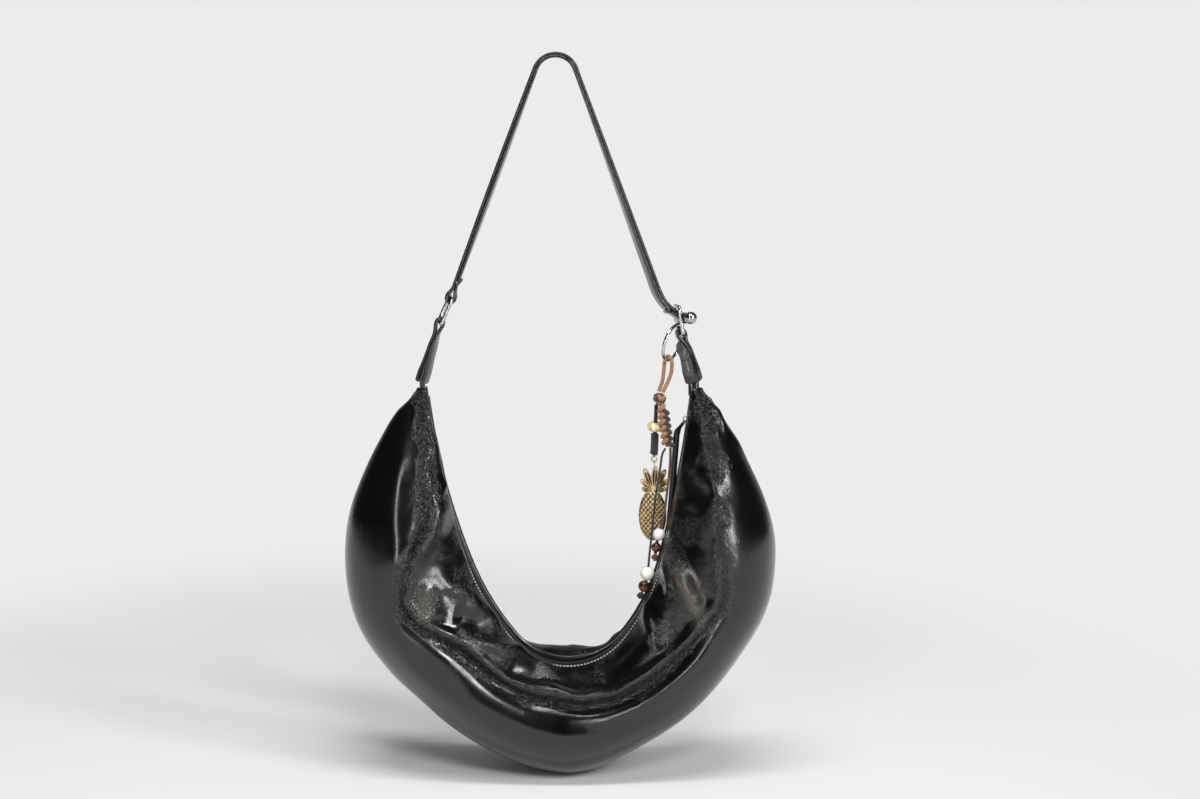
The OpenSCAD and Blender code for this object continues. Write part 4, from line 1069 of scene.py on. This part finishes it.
# %% [markdown]
# ## Zip pull
# The pull is a narrow strip of the strap's leather. It is folded through the slider's ring and
# hangs inside the bag's line, behind the charm.

# %% Pull
PULL_EYE, PULL_THICK = np.array([112.852, 0, -302.649]), 1.2
PULL_ROUTE = [[-1.1, 0, -1.1], [-3.2, 2.4, -4.4], [-5.4, 6.4, -8.6], [-6.6, 9, -13], [-7, 9.9, -20],
              [-9.8, 9.9, -58], [-12.9, 9.9, -96.6]]
line = smooth_route(PULL_ROUTE, 6) + PULL_EYE
line, across = even_steps(line, np.tile(unit(np.array([1, 0, -0.2])), (len(line), 1)), 1.5)
half = np.interp(steps_along(line), [0, 6, 12], [1.5, 1.6, 2.8])
half[-3:] = (2.6, 2.1, 1.2)
round_eye = [PULL_EYE + (1.15 + 0.4 * math.cos(b)) * np.array([math.cos(a), 0, math.sin(a)])
             + 1.2 * math.sin(b) * DEEP for a in circle(20) for b in -circle(10)]
eye_part = skin_hoop(np.array(round_eye).reshape(20, 10, 3))
solid("zip_pull_leather", *joined([skin_round(band(line, across, half, PULL_THICK)), eye_part]),
      strap_leather, "zip_pull_strip")

# %% [markdown]
# ## The charm
# The charm is knotted from waxed cord: a loop hitched on the split ring, a button knot, and a snake
# braid whose two columns are a bright and a dark strand. A branch carries a horn ring, a wrapped
# cord and the cast pineapple.

# %% Loop, button and braid
LOOP = [[90.3, 3.5, -276.1], [91.6, 3.9, -272.5], [93.4, 3.9, -267.5], [94.6, 4, -259],
        [95.3, 4.2, -251], [96.2, 3.8, -246.6], [98.5, 2.6, -244.7], [100.9, 1.3, -246.6],
        [101.8, 0.8, -251], [101.2, 1, -259], [98.2, 1.1, -267.5], [95.8, 1, -272.5],
        [94, 0.9, -276.6]]
KNOT = (90.9, 1.5, -282.6)
LOOP_R, ROWS, STRAND_R, COLUMN_OFF, ROUND_HALF = 1.7, 6, 2.1, 1.25, (2.3, 2.4)
BRAID_TOP, BRAID_LOW = np.array([93.6, -0.8, -288.9]), np.array([98.6, -2.5, -324.4])
solid("charm_loop_laid", *tube(smooth_route(LOOP, 5), LOOP_R), copper_cord, "charm_loop_cord")
solid("charm_button_strands", *wound_ball(KNOT, 6.0, 1.75, 3, 0.3), copper_cord,
      "charm_button_knot")
solid("charm_button_dark_strands", *wound_ball(KNOT, 6.1, 1.2, 2, 1.1), dark_copper_cord,
      "charm_button_knot", False, "brown_cord")
braid_way = unit(BRAID_LOW - BRAID_TOP)
braid_side = unit(np.cross(braid_way, DEEP))
braid_side = braid_side * np.sign(braid_side[0])
braid_front = unit(np.cross(braid_way, braid_side))


def braid_strand(column):
    """The left (-1) or right (1) column of the braid: slanting rounds of its strand."""
    parts = []
    s = np.linspace(0, TAU, 25)[:, None]
    for k in range(ROWS):
        share = (k + 0.5 + 0.25 * column) / (ROWS + 0.3)
        at = BRAID_TOP + (BRAID_LOW - BRAID_TOP) * share + column * COLUMN_OFF * braid_side
        slant = ROUND_HALF[0] * (braid_side + column * braid_way)
        line = at + np.cos(s) * slant + np.sin(s) * ROUND_HALF[1] * braid_front
        parts.append(tube(line, STRAND_R, 9))
    return joined(parts)


core = tube(between(BRAID_TOP, BRAID_LOW, np.linspace(0, 1, 9)), 2.2)
solid("charm_braid_bright", *joined([core, braid_strand(-1)]), copper_cord, "charm_snake_braid")
solid("charm_braid_dark", *braid_strand(1), dark_copper_cord, "charm_snake_braid", False,
      "brown_cord")

# %% Branch, horn ring and wrapped cord
BRANCH_TOP, BRANCH_LOW = np.array([88.2, 4.2, -288.2]), np.array([87.2, 7, -313.4])
WRAP_TOP, WRAP_LOW = np.array([87.1, 7, -313.8]), np.array([86.4, 6, -334])
BRANCH_R, HORN_AT, HORN, HORN_BORE = 1.75, 0.78, (7.4, 8.0), 1.9
WRAPS, WRAP_LONG, WRAP_R, WRAP_STRAND = 13, 15.5, 2.75, 0.85
solid("charm_branch_laid", *tube(between(BRANCH_TOP, BRANCH_LOW, np.linspace(0, 1, 12)), BRANCH_R),
      dark_copper_cord, "charm_branch_cord")
bead_at = BRANCH_TOP + (BRANCH_LOW - BRANCH_TOP) * HORN_AT
reach = 0.5 * unit(BRANCH_LOW - BRANCH_TOP)
turned_bead("horn_ring_bead", bead_at - reach, bead_at + reach, *HORN, HORN_BORE, horn,
            "charm_ring_bead", 0.5)
wrap_way = unit(WRAP_LOW - WRAP_TOP)
wrap_x = unit(np.cross(DEEP, wrap_way))
wrap_y = np.cross(wrap_way, wrap_x)
turns = np.linspace(0, WRAPS * TAU, WRAPS * 14)[:, None]
helix = WRAP_TOP + wrap_way * (0.8 + turns / turns[-1] * WRAP_LONG)
helix = helix + WRAP_R * (np.cos(turns) * wrap_x + np.sin(turns) * wrap_y)
core = tube(WRAP_TOP + wrap_way * np.linspace(0, 18, 7)[:, None], 2.6)
end = wound_ball(WRAP_LOW - wrap_way * 3.0, 4.1, 1.2, 3, 0.4, (1, 1, 0.75))
solid("charm_wrapped_strands", *joined([core, tube(helix, WRAP_STRAND, 7), end]), black_cord,
      "charm_wrapped_cord")

# %% [markdown]
# ## Pineapple
# The pendant is a flat casting. Its body is a lens with rows of raised diamond scales, and its
# crown is a fan of leaves with raised rims and a vein. The hollows between them hold the dark of
# the antique wash, so each place keeps a value that says how deep it lies.

# %% Pineapple
PINE, CROWN_OF_LEAVES = np.array([85.2, 6, -387.3]), np.array([1, 0, 21.0])
BODY_HALF, SCALE_WIDE, SCALE_TALL = (12.3, 22.8), 4.0, 4.8
LEAF_LONG, LEAF_HALF = 24, 3.6
LEAVES = ((-22, 0.9), (-45, 0.62), (-74, 0.42), (4, 0.93), (27, 0.9), (50, 0.64), (75, 0.44))
JUMP_EYE = np.array([86.6, 6, -340.1])


def cast_disc(outline, relief_at, rounds, edge):
    """A flat casting: its outline shrinks to the middle on both faces; edge is half its rim."""
    centre = outline.mean(0)
    points, hollow = [], []
    for face in (-1, 1):
        for share in np.linspace(0.02, 1, rounds)[::-face]:
            xz = centre + (outline - centre) * share
            high, deep = relief_at(xz, share)
            points.append(np.stack([xz[:, 0], face * (edge + high), xz[:, 1]], 1))
            hollow.append(deep)
    return *skin_round(np.array(points)), np.array(hollow).ravel()


def scales(xz, share):
    """Height and hollowness of the body: diamond scales on a belly."""
    a, b = xz[:, 0] / SCALE_WIDE, xz[:, 1] / SCALE_TALL
    bump = (1 - abs(2 * ((a + b) % 1) - 1)) * (1 - abs(2 * ((a - b) % 1) - 1))
    belly = 1.5 * math.sqrt(max(0, 1 - share**2.2))
    raised = np.clip(bump * 2.2, 0, 1) ** 0.7
    return belly + 1.3 * raised * min(1, (1 - share) * 8), 1 - raised


def leaf_relief(xz, share):
    """Height and hollowness of a leaf: a raised rim and a vein."""
    rim, vein = hill(share - 0.84, 0.12), hill(xz[:, 0], 0.45)
    return 0.15 + 0.75 * rim + 0.35 * vein * (share < 0.75), np.clip(1 - rim - 0.6 * vein, 0, 1)


*body, deep = cast_disc(np.stack([BODY_HALF[0] * np.cos(circle(110)),
                                  BODY_HALF[1] * np.sin(circle(110))], 1), scales, 46, 0.45)
parts, hollows = [(body[0] + PINE, *body[1:])], [deep]
s = circle(40)
for lean, share in LEAVES:
    long, wide = LEAF_LONG * share, LEAF_HALF * (0.75 + 0.25 * share)
    z = long / 2 * (1 - np.cos(s)) + 1.0
    outline = np.stack([-wide * np.sin(s) * (0.55 + 0.45 * z / (long + 1)), z], 1)
    p, f, uv, deep = cast_disc(outline, leaf_relief, 12, 0.35)
    p = p @ turn_about("Y", math.radians(lean)).T + 0.25 * (lean % 3 - 1) * DEEP
    parts.append((p + PINE + CROWN_OF_LEAVES, f, uv))
    hollows.append(deep)
s = np.linspace(0, TAU, 25)
parts.append(tube(JUMP_EYE + 1.9 * np.stack([0 * s, np.cos(s), np.sin(s)], 1), 0.6, 8))
hollows.append(np.zeros(len(parts[-1][0])))
pineapple = solid("pineapple_casting", *joined(parts), antique_gold, "pineapple_pendant")
keep_values(pineapple, "hollow", np.concatenate(hollows))
print("pineapple", len(pineapple.data.polygons), "faces")

# %% [markdown]
# ## Clasp rings
# Each clasp ring is bent from round wire into an oblong with rounded corners, and the charm hangs
# on a plain round ring. A tube swept round its closed middle line gives the wire an even gloss.

# %% Rings
RING_FLAT, CORNER_R, CLASP_WIRE = (7, 9), 3, 1.6
SPLIT_R, SPLIT_WIRE = 16.45, 1.5


def wire_ring(name, line, normal, r, node):
    """Round wire along a closed flat line."""
    up = np.cross(unit(np.roll(line, -1, 0) - np.roll(line, 1, 0)), normal)
    rings = np.stack([line + r * (math.cos(a) * up - math.sin(a) * normal) for a in circle(14)], 1)
    solid(name, *skin_hoop(rings), nickel, node)


def corner(a, flat):
    """One coordinate of an oblong: a flat side and a round corner."""
    return np.where(abs(a) > 1e-6, flat * np.sign(a), 0) + CORNER_R * a


def oblong(low, lean, turn):
    """Middle line of a clasp ring that stands on its lower wire, and the way that it faces."""
    a = np.linspace(0, TAU, 97)[:-1]
    y, z = corner(np.cos(a), RING_FLAT[0]), corner(np.sin(a), RING_FLAT[1])
    flat = np.stack([0 * a, y, z + RING_FLAT[1] + CORNER_R], 1)
    turned = turn_about("Y", math.radians(lean)) @ turn_about("Z", math.radians(turn))
    return low + flat @ turned.T, turned[:, 0]


wire_ring("left_wire_ring", *oblong(L_LOW, 24, 10), CLASP_WIRE, "left_ring")
wire_ring("right_wire_ring", *oblong(R_LOW, -8, 10), CLASP_WIRE, "right_ring")
facing = np.array([0.848873, -0.460912, -0.258819])
level_way = unit(np.cross(facing, (0, 0, 1)))
around = circle(72)[:, None]
split = np.cos(around) * level_way + np.sin(around) * np.cross(facing, level_way)
split = np.array([102.319, 0.47, -232.628]) + SPLIT_R * split
wire_ring("charm_wire_ring", split, facing, SPLIT_WIRE, "charm_ring")

# %% [markdown]
# ## The rest of the metal
# The bar, the balls, the slider, its ring, the stops and the jump ring have their real shape in the
# CAD model already. Each stands in the scene as a copy with its faces joined, so that the round
# ones shade smoothly, in the finish of the real metal.

# %% Smooth copies of CAD pieces
for node, finish in (("toggle_bar", nickel), ("toggle_front_ball", dark_nickel),
                     ("toggle_rear_ball", dark_nickel), ("zip_slider", zip_metal),
                     ("zip_pull_ring", zip_metal), ("zip_stop_left", zip_metal),
                     ("zip_stop_right", zip_metal), ("pineapple_jump_ring", antique_gold)):
    bpy.ops.object.select_all(action="DESELECT")
    made = bpy.data.objects.new(node + "_polished", frame["nodes"][node].data.copy())
    bpy.context.scene.collection.objects.link(made)
    made.select_set(True)
    bpy.context.view_layer.objects.active = made
    bpy.ops.object.mode_set(mode="EDIT")
    bpy.ops.mesh.select_all(action="SELECT")
    bpy.ops.mesh.remove_doubles(threshold=1e-6)
    bpy.ops.object.mode_set(mode="OBJECT")
    bpy.ops.object.shade_smooth_by_angle(angle=math.radians(40))
    dress(made, finish, node)

# %% [markdown]
# ## Floor and light
# The bag stands lightly on a pale sweep. Four soft suns light it and draw its shadow on the floor,
# and only the first of them shows in the gloss. Three narrow lamps and a dark studio behind them
# give the leather its drawn-out highlights. The background is an even pale tone that only straight
# rays see, and away from the bag the floor fades into it.

# %% Floor
FLOOR_Z, BACKGROUND = -0.6209, "#ececec"
bpy.ops.object.select_all(action="DESELECT")
bpy.ops.mesh.primitive_plane_add(size=16, location=(0, 4, FLOOR_Z))
floor = bpy.context.object
floor.name = "floor"
floor_finish = bpy.data.materials.new("painted_sweep")
floor_finish.use_nodes = True
tree = floor_finish.node_tree
tree.nodes.remove(tree.nodes["Principled BSDF"])
where = add(tree, "TexCoord")
lit = add(tree, "BsdfDiffuse", {"Color": "#d3d2d1"})
even = add(tree, "Emission", {"Color": BACKGROUND, "Strength": 1.0})
off = add(tree, "VectorMath", {0: where.outputs["Object"], 1: (0.12, 4 - 0.12, 0)}, operation="ADD")
scaled = add(tree, "VectorMath", {0: off, 1: (1.0, 0.85, 0)}, operation="MULTIPLY")
far = add(tree, "VectorMath", {0: scaled}, operation="LENGTH").outputs["Value"]
fade = ranged(tree, far, 0.42, 0.85, interpolation_type="SMOOTHSTEP")
blend = add(tree, "MixShader", {0: fade, 1: lit, 2: even})
tree.links.new(blend.outputs[0], tree.nodes["Material Output"].inputs["Surface"])
floor.data.materials.append(floor_finish)
floor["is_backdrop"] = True

# %% Studio
BACKGROUND_LEVEL = 0.84
world = bpy.context.scene.world or bpy.data.worlds.new("studio")
bpy.context.scene.world = world
world.use_nodes = True
tree = world.node_tree
parts = add(tree, "SeparateXYZ", {0: add(tree, "TexCoord").outputs["Generated"]}).outputs
front = ranged(tree, parts["Z"], -0.2, 1.0, 0.01, 0.04)
behind = ranged(tree, parts["Y"], 0.45, 1.0, 0.0, 0.4, interpolation_type="SMOOTHSTEP")
above = ranged(tree, parts["Z"], 0.4, 0.95, 0.05, 0.3, interpolation_type="SMOOTHSTEP")
studio = reckoned(tree, "MAXIMUM", front, behind)
rays = add(tree, "LightPath").outputs
soft = add(tree, "Mix", {0: rays["Is Glossy Ray"], 2: above, 3: studio}, data_type="FLOAT")
straight = reckoned(tree, "MAXIMUM", rays["Is Camera Ray"], rays["Is Transmission Ray"])
level = add(tree, "Mix", {0: straight, 2: soft, 3: BACKGROUND_LEVEL}, data_type="FLOAT")
tree.nodes["Background"].inputs["Color"].default_value = (1, 1, 1, 1)
tree.links.new(level.outputs[0], tree.nodes["Background"].inputs["Strength"])


# %% Lamps
def lamp(name, kind, at, aim, energy):
    """A lamp that looks from one place to another."""
    bpy.ops.object.light_add(type=kind, location=at)
    made = bpy.context.object
    made.name = name
    made.rotation_euler = (Vector(aim) - Vector(at)).to_track_quat("-Z", "Y").to_euler()
    made.data.energy = energy
    return made


for name, way, strength, wide, glossy in (
        ("key", (1.25, -1.0, 1.0), 0.75, 10, True),
        ("key_side", (0.81, -1.71, 1.0), 0.7, 12, False),
        ("front_fill", (0.2, -1.3, 1.0), 1.0, 14, False),
        ("overhead_fill", (0.0, -0.3, 1.0), 0.7, 25, False)):
    sun = lamp(name, "SUN", way, (0, 0, 0), strength)
    sun.data.angle = math.radians(wide)
    sun.visible_glossy = glossy
for name, at, aim, watts, wide, tall in (
        ("right_strip", (1.35, -1.75, 0.15), (0, 0, -0.3), 20, 0.2, 1.5),
        ("left_strip", (-0.6, -2.05, 0.15), (0, 0, -0.3), 9, 0.12, 1.5),
        ("top_strip", (0.05, -0.6, 1.3), (0.05, 0, -0.5), 17, 1.2, 0.16)):
    strip = lamp(name, "AREA", at, aim, watts)
    strip.data.shape = "RECTANGLE"
    strip.data.size, strip.data.size_y = wide, tall
scene = bpy.context.scene
scene.view_settings.view_transform = "Standard"

# %% Size and finish
low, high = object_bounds()
print("dressed box", [round(v, 4) for v in low], [round(v, 4) for v in high])
